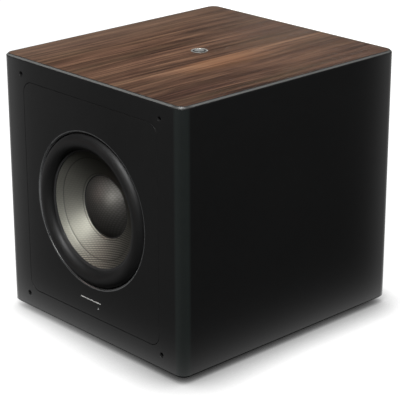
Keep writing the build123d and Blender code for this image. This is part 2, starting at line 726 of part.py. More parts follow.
@piece
def output_transistors():
    return group(box(x - 8, x + 8, PAN_BACK_Y - 5, PAN_BACK_Y, MID_Z + 8, MID_Z + 29)
                 - cyl_y(1.7, PAN_BACK_Y - 6, PAN_BACK_Y + 1, x, MID_Z + 25)
                 for x in (-24, 4, 32, 60))


@piece
def control_board():
    """Circuit board on two posts."""
    board = box(-92, 60, PAN_BACK_Y - 15.6, PAN_BACK_Y - 14, POT_Z - 17, POT_Z + 17)
    posts = [cyl_y(2.6, PAN_BACK_Y - 14.2, PAN_BACK_Y, x, POT_Z - 12) for x in (-86, 54)]
    return board + (posts[0] + posts[1])


@piece
def control_pots():
    pots = []
    for x in POT_X:
        pot = cyl_y(8.5, PAN_BACK_Y - 14, PAN_BACK_Y - 2, x, POT_Z)
        pot += cyl_y(BUSH_R, PAN_BACK_Y - 3, PAN_Y + 5.5, x, POT_Z)
        pot -= cyl_y(SHAFT_R + 0.06, PAN_BACK_Y - 12.5, PAN_Y + 6, x, POT_Z)
        pots.append(pot)
    return group(pots)


@piece
def pot_nuts():
    """Hexagon nuts, each with a round washer."""
    nuts = []
    for x in POT_X:
        nut = along_y(x, PAN_Y, POT_Z) * hex_prism(6.4, 2.4)
        nut += cyl_y(7.0, PAN_Y, PAN_Y + 0.6, x, POT_Z)
        nut -= cyl_y(BUSH_R, PAN_Y - 1, PAN_Y + 4, x, POT_Z)
        nuts.append(nut)
    return group(nuts)


def control_shaft(x):
    return cyl_y(SHAFT_R, PAN_BACK_Y - 12, REAR_Y - 4.0, x, POT_Z)


def control_knob(x):
    """Fluted knob with a pointer groove; its hollow skirt covers the nut."""
    top = 11.8
    knob = turned(joined_face(
        Polyline((SHAFT_R, 5.2), (SHAFT_R, 8.9), (0, 8.9), (0, top), (9.6, top)),
        ThreePointArc((9.6, top), (10.9, 11.3), (11.5, 10.2)),
        Polyline((11.5, 10.2), (12.0, 0), (8.6, 0), (8.6, 5.2), (SHAFT_R, 5.2))))
    for flute_x, flute_y in polar(12.6, 28, 0):
        knob -= Pos(flute_x, flute_y, 6) * Cylinder(1.0, 16)
    knob -= Pos(0, -7.4, top) * Box(1.2, 6.4, 1.2)
    return along_y(x, PAN_Y + 3.2, POT_Z) * knob


@piece
def volume_shaft():
    return control_shaft(VOLUME_X)


@piece
def volume_knob():
    return control_knob(VOLUME_X)


@piece
def crossover_shaft():
    return control_shaft(CROSSOVER_X)


@piece
def crossover_knob():
    return control_knob(CROSSOVER_X)


@piece
def slide_switch_bodies():
    return group(block_y(22, 9, PAN_BACK_Y - 8, PAN_BACK_Y, x, SWITCH_Z)
                 - block_y(14.4, 5.2, PAN_BACK_Y - 6.5, PAN_BACK_Y + 1, x, SWITCH_Z)
                 for x in (PHASE_X, MODE_X))


def switch_slider(x):
    """Slider with three grip grooves across its tip."""
    slider = block_y(5, 5, PAN_BACK_Y - 6.0, PAN_BACK_Y - 1.0, x, SWITCH_Z)
    slider += block_y(4, 3.8, PAN_BACK_Y - 2, PAN_Y + 4.5, x, SWITCH_Z)
    for dx in (-1.0, 0.0, 1.0):
        slider -= block_y(0.4, 6, PAN_Y + 4.1, PAN_Y + 5, x + dx, SWITCH_Z)
    return slider


@piece
def phase_slider():
    return switch_slider(PHASE_X - 2.0)


@piece
def mode_slider():
    return switch_slider(MODE_X)


@piece
def rca_sockets():
    sockets = []
    for x in RCA_X:
        socket = block_y(12, 12, PAN_Y, PAN_Y + 1.4, x, RCA_Z)
        socket += cyl_y(4.15, PAN_Y + 1, PAN_Y + 10.4, x, RCA_Z)
        socket += cyl_y(4.8, PAN_BACK_Y - 1, PAN_Y + 1, x, RCA_Z)
        socket += block_y(12, 12, PAN_BACK_Y - 11, PAN_BACK_Y, x, RCA_Z)
        socket -= cyl_y(3.35, PAN_Y + 3, PAN_Y + 11, x, RCA_Z)
        socket += (cyl_y(2.7, PAN_Y + 2.5, PAN_Y + 10.0, x, RCA_Z)
                   - cyl_y(1.6, PAN_Y + 2.4, PAN_Y + 11, x, RCA_Z))
        sockets.append(socket)
    return group(sockets)


@piece
def mains_inlet():
    """Mains module: rocker at the top, inlet in the middle, fuse drawer below."""
    body = slab_y(50, 60, 3, PAN_Y, PAN_Y + 2.2, MAINS_X, MAINS_Z)
    body = chamfer(end_edges(body, Axis.Y, -1), 0.6)
    body += slab_y(44, 54, 1.3, PAN_BACK_Y - 20, PAN_Y + 1, MAINS_X, MAINS_Z)
    body -= block_y(22.2, 10.8, PAN_BACK_Y - 10, PAN_Y + 3, MAINS_X, ROCKER_Z)
    body -= Pos(MAINS_X, ROCKER_Y, ROCKER_Z) * Cylinder(1.26, 13.4)
    recess = polygon((-12, 8.2), (12, 8.2), (12, -3.6), (7.6, -8.2), (-7.6, -8.2), (-12, -3.6))
    body -= along_y(MAINS_X, PAN_BACK_Y - 13, INLET_Z) * extrude(recess, amount=20)
    body -= block_y(17.2, 7.8, PAN_BACK_Y - 17.5, PAN_Y + 3, MAINS_X, FUSE_Z)
    for x, z in PINS:
        body -= block_y(PIN_W, PIN_H, PAN_BACK_Y - 21, PAN_BACK_Y - 12, x, z)
    return body


@piece
def inlet_pins():
    pins = []
    for x, z in PINS:
        pin = block_y(PIN_W, PIN_H, PAN_BACK_Y - 27, PAN_Y - 1.5, x, z)
        pins.append(chamfer(end_edges(pin, Axis.Y, -1), 0.5))
    return group(pins)


@piece
def mains_rocker():
    profile = polygon((-10, 2.6), (-5, 1.2), (0, 0.8), (5, 1.2), (10, 2.6), (9.2, -5), (-9.2, -5))
    rocker = Pos(0, 3, 0) * extrude(profile, amount=5.0, both=True) + Cylinder(1.2, 12.8)
    return Pos(MAINS_X, ROCKER_Y, ROCKER_Z) * Rot(0, 0, -ROCKER_TILT) * rocker


@piece
def fuse_drawer():
    """Hollow drawer with a wider front plate, notched at its upper edge."""
    drawer = block_y(17.08, 7.68, PAN_BACK_Y - 17, PAN_Y + 2.4, MAINS_X, FUSE_Z)
    drawer += block_y(20, 9.6, PAN_Y + 2.25, PAN_Y + 3.8, MAINS_X, FUSE_Z)
    drawer -= box(MAINS_X - 6.5, MAINS_X + 6.5, PAN_BACK_Y - 15, PAN_Y - 2,
                  FUSE_Z - 2.4, FUSE_Z + 5)
    return drawer - box(MAINS_X - 3, MAINS_X + 3, PAN_Y + 2.9, PAN_Y + 5,
                        FUSE_Z + 3.0, FUSE_Z + 6)


os.makedirs("parts", exist_ok=True)
for build in pieces:
    export_step(Pos(0, PLAN_SHIFT_Y, 0) * single(build()), f"parts/{build.__name__}.step")
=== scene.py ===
import bpy, bmesh
import json
import math
import numpy as np
from mathutils import Vector, Matrix, noise

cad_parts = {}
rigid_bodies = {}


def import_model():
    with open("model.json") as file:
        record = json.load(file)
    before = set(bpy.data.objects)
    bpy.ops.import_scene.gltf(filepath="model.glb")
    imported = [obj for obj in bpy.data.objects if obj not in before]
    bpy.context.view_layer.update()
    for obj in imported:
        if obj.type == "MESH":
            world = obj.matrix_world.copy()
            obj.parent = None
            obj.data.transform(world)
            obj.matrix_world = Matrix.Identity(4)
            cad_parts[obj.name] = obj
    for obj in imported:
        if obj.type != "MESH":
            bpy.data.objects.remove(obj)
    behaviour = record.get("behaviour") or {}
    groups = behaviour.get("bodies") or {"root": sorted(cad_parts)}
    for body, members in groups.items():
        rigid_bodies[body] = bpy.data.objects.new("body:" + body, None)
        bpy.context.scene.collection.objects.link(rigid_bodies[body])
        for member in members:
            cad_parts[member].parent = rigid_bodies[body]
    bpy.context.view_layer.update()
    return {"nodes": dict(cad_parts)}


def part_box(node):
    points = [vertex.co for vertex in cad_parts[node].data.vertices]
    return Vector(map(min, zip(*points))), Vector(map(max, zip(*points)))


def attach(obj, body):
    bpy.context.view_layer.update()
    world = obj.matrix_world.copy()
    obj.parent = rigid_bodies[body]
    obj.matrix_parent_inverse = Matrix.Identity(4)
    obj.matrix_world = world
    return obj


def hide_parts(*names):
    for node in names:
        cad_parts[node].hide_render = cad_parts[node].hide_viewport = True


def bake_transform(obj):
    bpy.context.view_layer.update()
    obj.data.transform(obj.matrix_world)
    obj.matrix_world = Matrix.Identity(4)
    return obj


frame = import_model()
N = frame["nodes"]
MM = 0.001

# frame measures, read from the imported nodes
sh_lo, sh_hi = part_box("cabinet_shell")
tr_lo, tr_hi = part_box("top_trim")
YF = sh_lo.y                                   # front plane
YR = sh_hi.y                                   # rear plane
s_lo, s_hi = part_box("surround")
ZC = (s_lo.z + s_hi.z) / 2                     # driver axis
ZTOP = tr_hi.z
Z0 = sh_lo.z
YO = YF + 0.2205                               # cabinet's middle, from the frame's origin
scene = bpy.context.scene
scene.view_settings.view_transform = "Standard"
scene.view_settings.look = "None"
scene.view_settings.exposure = 0.0
scene.view_settings.gamma = 1.0


# ---------------------------------------------------------------------------
# node-tree helpers
# ---------------------------------------------------------------------------
class Tree:
    def __init__(self, name):
        self.mat = bpy.data.materials.new(name)
        self.mat.use_nodes = True
        self.nt = self.mat.node_tree
        self.nt.nodes.clear()
        self.out = self.node("ShaderNodeOutputMaterial")
        self.bsdf = self.node("ShaderNodeBsdfPrincipled")
        self.link(self.bsdf.outputs[0], self.out.inputs["Surface"])
        self.co = self.node("ShaderNodeTexCoord").outputs["Object"]

    def node(self, kind, **kw):
        n = self.nt.nodes.new(kind)
        for k, v in kw.items():
            setattr(n, k, v)
        return n

    def link(self, a, b):
        self.nt.links.new(a, b)

    def put(self, sock, v):
        if hasattr(v, "is_output") or isinstance(v, bpy.types.NodeSocket):
            self.link(v, sock)
        else:
            sock.default_value = v

    def math(self, op, a, b=None, c=None, clamp=False):
        n = self.node("ShaderNodeMath", operation=op, use_clamp=clamp)
        self.put(n.inputs[0], a)
        if b is not None:
            self.put(n.inputs[1], b)
        if c is not None:
            self.put(n.inputs[2], c)
        return n.outputs[0]

    def sep(self, v=None):
        n = self.node("ShaderNodeSeparateXYZ")
        self.link(v if v is not None else self.co, n.inputs[0])
        return n.outputs[0], n.outputs[1], n.outputs[2]

    def comb(self, x, y, z):
        n = self.node("ShaderNodeCombineXYZ")
        self.put(n.inputs[0], x), self.put(n.inputs[1], y), self.put(n.inputs[2], z)
        return n.outputs[0]

    def scaled(self, s, off=(0, 0, 0), rot=(0, 0, 0), v=None):
        n = self.node("ShaderNodeMapping")
        self.link(v if v is not None else self.co, n.inputs["Vector"])
        n.inputs["Scale"].default_value = s
        n.inputs["Location"].default_value = off
        n.inputs["Rotation"].default_value = rot
        return n.outputs[0]

    def noise(self, v=None, scale=1.0, detail=3.0, rough=0.5, dist=0.0, color=False):
        n = self.node("ShaderNodeTexNoise")
        self.link(v if v is not None else self.co, n.inputs["Vector"])
        n.inputs["Scale"].default_value = scale
        n.inputs["Detail"].default_value = detail
        n.inputs["Roughness"].default_value = rough
        n.inputs["Distortion"].default_value = dist
        return n.outputs["Color" if color else "Fac"]

    def voronoi(self, v=None, scale=1.0, feature="F1", rand=1.0):
        n = self.node("ShaderNodeTexVoronoi", feature=feature)
        self.link(v if v is not None else self.co, n.inputs["Vector"])
        n.inputs["Scale"].default_value = scale
        n.inputs["Randomness"].default_value = rand
        return n.outputs["Distance"]

    def ramp(self, fac, stops, interp="LINEAR"):
        n = self.node("ShaderNodeValToRGB")
        self.link(fac, n.inputs[0])
        n.color_ramp.interpolation = interp
        e = n.color_ramp.elements
        while len(e) > len(stops):
            e.remove(e[-1])
        while len(e) < len(stops):
            e.new(0.5)
        for el, (p, c) in zip(e, stops):
            el.position = p
            el.color = (*c, 1) if len(c) == 3 else c
        return n.outputs[0]

    def remap(self, v, a, b, c, d, clamp=True):
        n = self.node("ShaderNodeMapRange", clamp=clamp)
        self.put(n.inputs[0], v)
        for i, x in enumerate((a, b, c, d)):
            self.put(n.inputs[i + 1], x)
        return n.outputs[0]

    def mix(self, fac, a, b, mode="MIX"):
        n = self.node("ShaderNodeMix", data_type="RGBA", blend_type=mode)
        self.put(n.inputs[0], fac)
        self.put(n.inputs[6], (*a, 1) if isinstance(a, tuple) and len(a) == 3 else a)
        self.put(n.inputs[7], (*b, 1) if isinstance(b, tuple) and len(b) == 3 else b)
        return n.outputs[2]

    def bump(self, h, strength=0.3, dist=0.001, normal=None):
        n = self.node("ShaderNodeBump")
        self.link(h, n.inputs["Height"])
        n.inputs["Strength"].default_value = strength
        n.inputs["Distance"].default_value = dist
        if normal is not None:
            self.link(normal, n.inputs["Normal"])
        return n.outputs[0]

    def bevel(self, radius, samples=4):
        n = self.node("ShaderNodeBevel")
        n.samples = samples
        n.inputs["Radius"].default_value = radius
        return n.outputs[0]

    def edge(self, bev):
        # 1 on sharp edges, 0 on flats
        g = self.node("ShaderNodeNewGeometry")
        d = self.node("ShaderNodeVectorMath", operation="DOT_PRODUCT")
        self.link(bev, d.inputs[0]), self.link(g.outputs["Normal"], d.inputs[1])
        return self.remap(d.outputs["Value"], 0.999, 0.90, 0.0, 1.0)

    def set(self, **kw):
        names = {"color": "Base Color", "rough": "Roughness", "metal": "Metallic", "spec": "Specular IOR Level", "coat": "Coat Weight",
                 "coat_rough": "Coat Roughness", "sheen": "Sheen Weight", "sheen_rough": "Sheen Roughness", "normal": "Normal",
                 "aniso": "Anisotropic", "trans": "Transmission Weight", "ior": "IOR", "emit": "Emission Color", "emit_s": "Emission Strength",
                 "coat_normal": "Coat Normal", "sss": "Subsurface Weight", "tangent": "Tangent", "tint": "Specular Tint"}
        for k, v in kw.items():
            s = self.bsdf.inputs[names[k]]
            if isinstance(v, tuple) and len(v) == 3 and s.type == "RGBA":
                v = (*v, 1)
            self.put(s, v)


def finish_mat(name, c1, c2, rough=(0.4, 0.5), metal=0.0, scale=60.0, bump=0.15, bscale=900.0, bdist=0.0003, spec=0.5, coat=0.0,
               stretch=(1, 1, 1), bevel=0.0, wear=0.0, wear_c=(0.3, 0.3, 0.3), sheen=0.0, detail=4.0, vor=False, aniso=0.0):
    """A procedural finish: two-scale colour change, roughness change, fine relief, rounded and slightly worn edges."""
    t = Tree(name)
    v = t.scaled(stretch)
    big = t.noise(v, scale, detail, 0.55)
    fine = t.noise(v, scale * 9.0, 3.0, 0.6)
    both = t.math("MULTIPLY_ADD", fine, 0.35, t.math("MULTIPLY", big, 0.65))
    col = t.ramp(both, [(0.32, c1), (0.68, c2)])
    h = t.voronoi(v, bscale) if vor else t.noise(v, bscale, 2.0, 0.6)
    nrm = t.bevel(bevel) if bevel else None
    if wear and bevel:
        e = t.math("MULTIPLY", t.edge(nrm), t.remap(t.noise(None, 140.0, 4.0, 0.7), 0.35, 0.7, 0.25, 1.0))
        col = t.mix(t.math("MULTIPLY", e, wear), col, wear_c)
    t.set(color=col, rough=t.remap(both, 0.3, 0.7, rough[0], rough[1]), metal=metal, spec=spec, coat=coat, sheen=sheen, aniso=aniso,
          normal=t.bump(h, bump, bdist, nrm))
    return t.mat


def give(mat, *names):
    for n in names:
        o = N[n] if n in N else bpy.data.objects[n]
        o.data.materials.clear()
        o.data.materials.append(mat)


# ---------------------------------------------------------------------------
# mesh helpers
# ---------------------------------------------------------------------------
def mesh_obj(name, verts, faces, smooth=True):
    me = bpy.data.meshes.new(name)
    me.from_pydata([tuple(map(float, v)) for v in verts], [], [tuple(map(int, f)) for f in faces])
    me.validate()
    me.update()
    if smooth:
        me.polygons.foreach_set("use_smooth", [True] * len(me.polygons))
    o = bpy.data.objects.new(name, me)
    scene.collection.objects.link(o)
    return o


def sharp_by_angle(o, deg=35.0):
    o.data.set_sharp_from_angle(angle=math.radians(deg))


def fix_normals(o):
    bm = bmesh.new()
    bm.from_mesh(o.data)
    bmesh.ops.recalc_face_normals(bm, faces=bm.faces)
    bm.to_mesh(o.data)
    bm.free()
    o.data.update()


def add_mod(o, kind, **kw):
    m = o.modifiers.new(kind.lower(), kind)
    for k, v in kw.items():
        setattr(m, k, v)
    return m


def apply_mods(o):
    dg = bpy.context.evaluated_depsgraph_get()
    me = bpy.data.meshes.new_from_object(o.evaluated_get(dg))
    o.modifiers.clear()
    o.data = me


def lathe(name, prof, seg, axis="driver", centre=(0, 0, 0), closed=True, warp=None):
    """Turns a closed (radius, depth) profile in mm. axis "driver" puts depth along +Y from the front plane."""
    prof = np.array(prof, float)
    n = len(prof)
    th = np.linspace(0, 2 * math.pi, seg, endpoint=False)
    R = prof[:, 0][:, None] * np.ones(seg)
    D = prof[:, 1][:, None] * np.ones(seg)
    C, S = np.cos(th)[None, :], np.sin(th)[None, :]
    if axis == "driver":
        X, Y, Z = R * C, D, R * S
    elif axis == "z":
        X, Y, Z = R * C, -R * S, D
    if warp is not None:
        X, Y, Z = warp(X, Y, Z, R, D)
    if axis == "driver":
        V = np.stack([X * MM, YF + Y * MM, ZC + Z * MM], -1)
    else:
        V = np.stack([X * MM, Y * MM, Z * MM], -1)
    V = V.reshape(-1, 3) + np.array(centre)
    faces = []
    m = n if closed else n - 1
    for i in range(m):
        a, b = i * seg, ((i + 1) % n) * seg
        for k in range(seg):
            k2 = (k + 1) % seg
            faces.append((a + k, a + k2, b + k2, b + k))
    o = mesh_obj(name, V, faces)
    return o


def close_poles(o, tol=1e-6):
    """Merges the ring of points at a profile's zero radius."""
    bm = bmesh.new()
    bm.from_mesh(o.data)
    bmesh.ops.remove_doubles(bm, verts=bm.verts, dist=tol)
    bmesh.ops.recalc_face_normals(bm, faces=bm.faces)
    bm.to_mesh(o.data)
    bm.free()
    o.data.update()


def arc(cx, cy, r, a0, a1, n):
    a = np.radians(np.linspace(a0, a1, n))
    return [(cx + r * math.cos(t), cy + r * math.sin(t)) for t in a]


def arc3(p1, p2, p3, n):
    """n points on the circle through three points."""
    (x1, y1), (x2, y2), (x3, y3) = p1, p2, p3
    A = np.array([[x2 - x1, y2 - y1], [x3 - x1, y3 - y1]])
    b = 0.5 * np.array([x2 * x2 - x1 * x1 + y2 * y2 - y1 * y1, x3 * x3 - x1 * x1 + y3 * y3 - y1 * y1])
    c = np.linalg.solve(A, b)
    r = math.hypot(x1 - c[0], y1 - c[1])
    a = [math.atan2(y - c[1], x - c[0]) for x, y in (p1, p2, p3)]
    two = 2 * math.pi
    s = (a[2] - a[0]) % two
    m = (a[1] - a[0]) % two
    if m > s:
        s -= two
    return [(c[0] + r * math.cos(a[0] + s * k / (n - 1)), c[1] + r * math.sin(a[0] + s * k / (n - 1))) for k in range(n)]


def radial_blend(o):
    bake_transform(o)


def radius_of(o):
    co = np.zeros(len(o.data.vertices) * 3)
    o.data.vertices.foreach_get("co", co)
    co = co.reshape(-1, 3)
    return np.hypot(co[:, 0], co[:, 2] - ZC) / MM, co


# ---------------------------------------------------------------------------
# woven fabric: shared by the cone and the cap
# ---------------------------------------------------------------------------
YARN = 2.97          # mm, yarn to yarn, seen from the front
WEAVE_ROT = math.radians(13.6)


def weave_height(x, z):
    """Plain weave relief, about -1 to 1, for front-view positions in mm."""
    u = (x * math.cos(WEAVE_ROT) + z * math.sin(WEAVE_ROT)) / YARN
    v = (-x * math.sin(WEAVE_ROT) + z * math.cos(WEAVE_ROT)) / YARN
    i, j = np.floor(u), np.floor(v)
    fu, fv = u - i, v - j
    crown_v = np.sqrt(np.clip(1 - (2 * fv - 1) ** 2 * 0.92, 0, 1))
    crown_u = np.sqrt(np.clip(1 - (2 * fu - 1) ** 2 * 0.92, 0, 1))
    s = np.where((i + j) % 2 == 0, 1.0, -1.0)
    weft = 0.55 * s * np.sin(math.pi * fu) + 0.9 * (crown_v - 1)
    warp = -0.55 * s * np.sin(math.pi * fv) + 0.9 * (crown_u - 1)
    return np.maximum(weft, warp)


def weave_material(name, weft_c, warp_c, dark_c, rough, coat, coat_rough, spec, bump=0.35, metal=0.0, row_shade=0.5, fill=1.0, rings=(), lean=0.3, gate=(-0.015, 0.055), top_shadow_keep=1.0):
    t = Tree(name)
    x, y, z = t.sep()
    c, s = math.cos(WEAVE_ROT), math.sin(WEAVE_ROT)
    zz = t.math("SUBTRACT", z, ZC)
    # yarns wander a little
    wob = t.math("MULTIPLY", t.math("SUBTRACT", t.noise(None, 38.0, 2.0, 0.5), 0.5), 0.35)
    k = 1.0 / (YARN * MM)
    u = t.math("ADD", t.math("MULTIPLY", t.math("ADD", t.math("MULTIPLY", x, c), t.math("MULTIPLY", zz, s)), k), wob)
    v = t.math("ADD", t.math("MULTIPLY", t.math("SUBTRACT", t.math("MULTIPLY", zz, c), t.math("MULTIPLY", x, s)), k), wob)
    fu, fv = t.math("FRACT", u), t.math("FRACT", v)
    par = t.math("FLOORED_MODULO", t.math("ADD", t.math("FLOOR", u), t.math("FLOOR", v)), 2.0)   # 0 or 1
    sg = t.math("SUBTRACT", 1.0, t.math("MULTIPLY", par, 2.0))

    def crown(f):
        q = t.math("SUBTRACT", t.math("MULTIPLY", f, 2.0), 1.0)
        return t.math("SQRT", t.math("SUBTRACT", 1.0, t.math("MULTIPLY", t.math("MULTIPLY", q, q), 0.92)))
    cu, cv = crown(fu), crown(fv)
    su, sv = t.math("SINE", t.math("MULTIPLY", fu, math.pi)), t.math("SINE", t.math("MULTIPLY", fv, math.pi))
    weft = t.math("ADD", t.math("MULTIPLY", t.math("MULTIPLY", sg, su), 0.55), t.math("MULTIPLY", t.math("SUBTRACT", cv, 1.0), 0.9))
    warp = t.math("ADD", t.math("MULTIPLY", t.math("MULTIPLY", sg, sv), -0.55), t.math("MULTIPLY", t.math("SUBTRACT", cu, 1.0), 0.9))
    h = t.math("MAXIMUM", weft, warp)
    which = t.remap(t.math("SUBTRACT", weft, warp), -0.36, -0.22, 0.0, 1.0)
    # painted shade of the weave: its groove shade, yarn-to-yarn colour contrast and relief are full lower down and drop
    # to fill toward the upper half, where the light does not show the ribs
    rib_shade_and_relief = t.remap(t.math("ADD", t.math("MULTIPLY", zz, -1.0), t.math("MULTIPLY", x, lean)), *gate, fill, 1.0)
    # single fibres along each yarn
    fib_w = t.noise(t.comb(t.math("MULTIPLY", u, 1.2), t.math("MULTIPLY", v, 16.0), 0.0), 1.0, 3.0, 0.6)
    fib_p = t.noise(t.comb(t.math("MULTIPLY", u, 16.0), t.math("MULTIPLY", v, 1.2), 4.0), 1.0, 3.0, 0.6)
    fib = t.math("ADD", t.math("MULTIPLY", fib_w, which), t.math("MULTIPLY", fib_p, t.math("SUBTRACT", 1.0, which)))
    mean_c = tuple((a * 0.6 + b * 0.4) for a, b in zip(weft_c, warp_c))
    col = t.mix(t.remap(rib_shade_and_relief, 0.0, 1.0, 0.84, 0.0), t.mix(which, warp_c, weft_c), mean_c)
    col = t.mix(t.math("MULTIPLY", t.remap(fib, 0.35, 0.7, 0.25, 0.0), rib_shade_and_relief), col, dark_c)
    # painted shade in the hollows between the yarns
    col = t.mix(t.math("MULTIPLY", t.remap(h, -0.75, 0.0, 0.6, 0.0), rib_shade_and_relief), col, dark_c)
    # painted shade along the grooves between yarn rows
    col = t.mix(t.math("MULTIPLY", t.remap(cv, 0.42, 0.95, row_shade, 0.0), rib_shade_and_relief), col, dark_c)
    # painted shade along the two creases pressed into the cone
    if rings:
        rr = t.math("SQRT", t.math("ADD", t.math("MULTIPLY", x, x), t.math("MULTIPLY", zz, zz)))
        for r0, w in rings:
            line = t.remap(t.math("ABSOLUTE", t.math("SUBTRACT", rr, r0)), 0.0, w, 0.55, 0.0)
            col = t.mix(line, col, dark_c)
    tone = t.noise(None, 22.0, 3.0, 0.6)
    col = t.mix(t.remap(tone, 0.3, 0.7, 0.0, 0.10), col, dark_c)
    # painted shadow: darker toward the top and upper right, keeping top_shadow_keep of the colour there
    col = t.mix(t.remap(t.math("ADD", zz, t.math("MULTIPLY", x, 0.4)), 0.010, 0.080, 0.0, 1.0 - top_shadow_keep), col, (0.0, 0.0, 0.0))
    # painted shade: darker toward the right side of the cone (only where rings are given, so on the cone)
    if rings:
        col = t.mix(t.remap(t.math("SUBTRACT", x, t.math("MULTIPLY", zz, 0.3)), 0.0, 0.07, 0.0, 0.42), col, (0.0, 0.0, 0.0))
    height = t.math("MULTIPLY", t.math("ADD", h, t.math("MULTIPLY", fib, 0.22)), rib_shade_and_relief)
    first = t.node("ShaderNodeLightPath").outputs["Is Camera Ray"]
    col = t.mix(t.remap(first, 0.0, 1.0, 0.88, 0.0), col, (0.0, 0.0, 0.0))
    t.set(color=col, rough=t.remap(fib, 0.3, 0.7, rough[0], rough[1]), spec=spec, coat=coat, coat_rough=coat_rough, metal=metal,
          normal=t.bump(height, bump, 0.00030))
    return t.mat


# ---------------------------------------------------------------------------
# driver pieces
# ---------------------------------------------------------------------------
# surround: tall half-roll, flat inner land on the cone's rim, outer leg down to the frame
roll_c, roll_r, roll_d = 104.85, 12.2, 6.0
prof = [(89.0, 7.3), (88.98, 6.5), (89.15, 6.15), (89.6, 6.0), (90.4, 6.0), (91.2, 5.97), (91.9, 5.8), (92.35, 5.35)]
front_roll = arc(roll_c, roll_d, roll_r, 183.5, 360.0, 60)
prof += front_roll + [(117.05, 8.0), (117.05, 10.3), (117.35, 11.0), (118.0, 11.2), (118.9, 11.25), (118.9, 12.5), (112.6, 12.5), (112.6, 11.3), (115.0, 11.2), (115.75, 10.2), (115.75, 8.0)]
back_roll = arc(roll_c, roll_d, roll_r - 1.3, 360.0, 180.0, 40)
prof += back_roll + [(93.95, 7.3)]
sur = lathe("surround_rubber", prof, 320)
fix_normals(sur)
r, _ = radius_of(sur)
radial_blend(sur)
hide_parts("surround")

# cone: fine mesh with the weave as real relief on its face
front_c = arc3((89.6, 7.3), (66.0, 19.9), (36.6, 38.2), 92)
back_c = arc3((37.27, 39.19), (66.6, 20.94), (90.13, 8.37), 16)
prof = [(93.9, 7.3), (91.5, 7.3)] + front_c + [(35.0, 38.9), (33.1, 39.6), (33.05, 43.0), (34.3, 43.0), (34.3, 41.2)] + back_c + [(91.2, 8.5), (93.9, 8.5)]
rel = np.zeros(len(prof))
for q in range(len(prof)):
    if 2 <= q < 2 + len(front_c):
        rel[q] = 1.0
rel[2:8] *= np.linspace(0, 1, 6)


def cone_warp(X, Y, Z, R, D):
    low = np.clip((0.9 * X - Z - 20.0) / 42.0, 0.0, 1.0)
    h = weave_height(X, Z) * (0.3 + 0.7 * low)
    groove = 0.30 * np.exp(-((R - 78.5) / 0.8) ** 2) + 0.22 * np.exp(-((R - 51.5) / 0.7) ** 2)
    return X, Y - (0.10 * h + 0.02 - groove) * rel[:, None], Z


cone = lathe("cone_weave", prof, 720, warp=cone_warp)
fix_normals(cone)
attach(cone, "moving_cone")
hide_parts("cone")

# dust cap
cap_h, cap_r = 19.4, 47.3
cap_R = (cap_r ** 2 + cap_h ** 2) / (2 * cap_h)
cc = 11.6 + cap_R
rad = np.concatenate([[0.0], np.linspace(0.8, 46.8, 66), [47.3]])
front_k = [(q, cc - math.sqrt(cap_R ** 2 - q * q)) for q in rad]
back_k = [(q, cc - math.sqrt((cap_R - 1.0) ** 2 - q * q)) for q in np.linspace(46.5, 0.0, 14)]
prof = front_k + back_k
relk = np.array([1.0] * len(front_k) + [0.0] * len(back_k))
relk[len(front_k) - 4:len(front_k)] = [0.8, 0.5, 0.2, 0.0]


def cap_warp(X, Y, Z, R, D):
    h = weave_height(X, Z)
    return X, Y - (0.07 * h + 0.02) * relk[:, None], Z


cap = lathe("dust_cap_weave", prof, 512, warp=cap_warp)
close_poles(cap)
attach(cap, "moving_cone")
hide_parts("dust_cap")

# glue fillet where the cap meets the cone
bead = lathe("cap_glue_bead", [(48.1 + 0.75 * math.cos(a), 30.55 + 0.75 * math.sin(a)) for a in np.linspace(0, 2 * math.pi, 14, endpoint=False)], 288)
fix_normals(bead)
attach(bead, "moving_cone")

# spider: corrugated cloth
r_a, r_b = 36.5, 65.0
tt = np.linspace(0, 1, 161)
wr = r_a + (r_b - r_a) * tt
wd = 62.7 + 1.7 * np.sin(2 * math.pi * 5 * tt)
fr = [(33.05, 61.0), (33.6, 60.9), (33.9, 61.6), (34.6, 62.4)] + [(a, b - 0.28) for a, b in zip(wr, wd)] + [(68.0, 62.42), (79.5, 62.42)]
bk = [(79.5, 62.98), (68.0, 62.98)] + [(a, b + 0.28) for a, b in zip(wr[::-1], wd[::-1])] + [(34.4, 63.0), (33.05, 63.0)]
spd = lathe("spider_cloth_disc", fr + bk, 192)
fix_normals(spd)
r, _ = radius_of(spd)
radial_blend(spd)
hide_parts("spider")


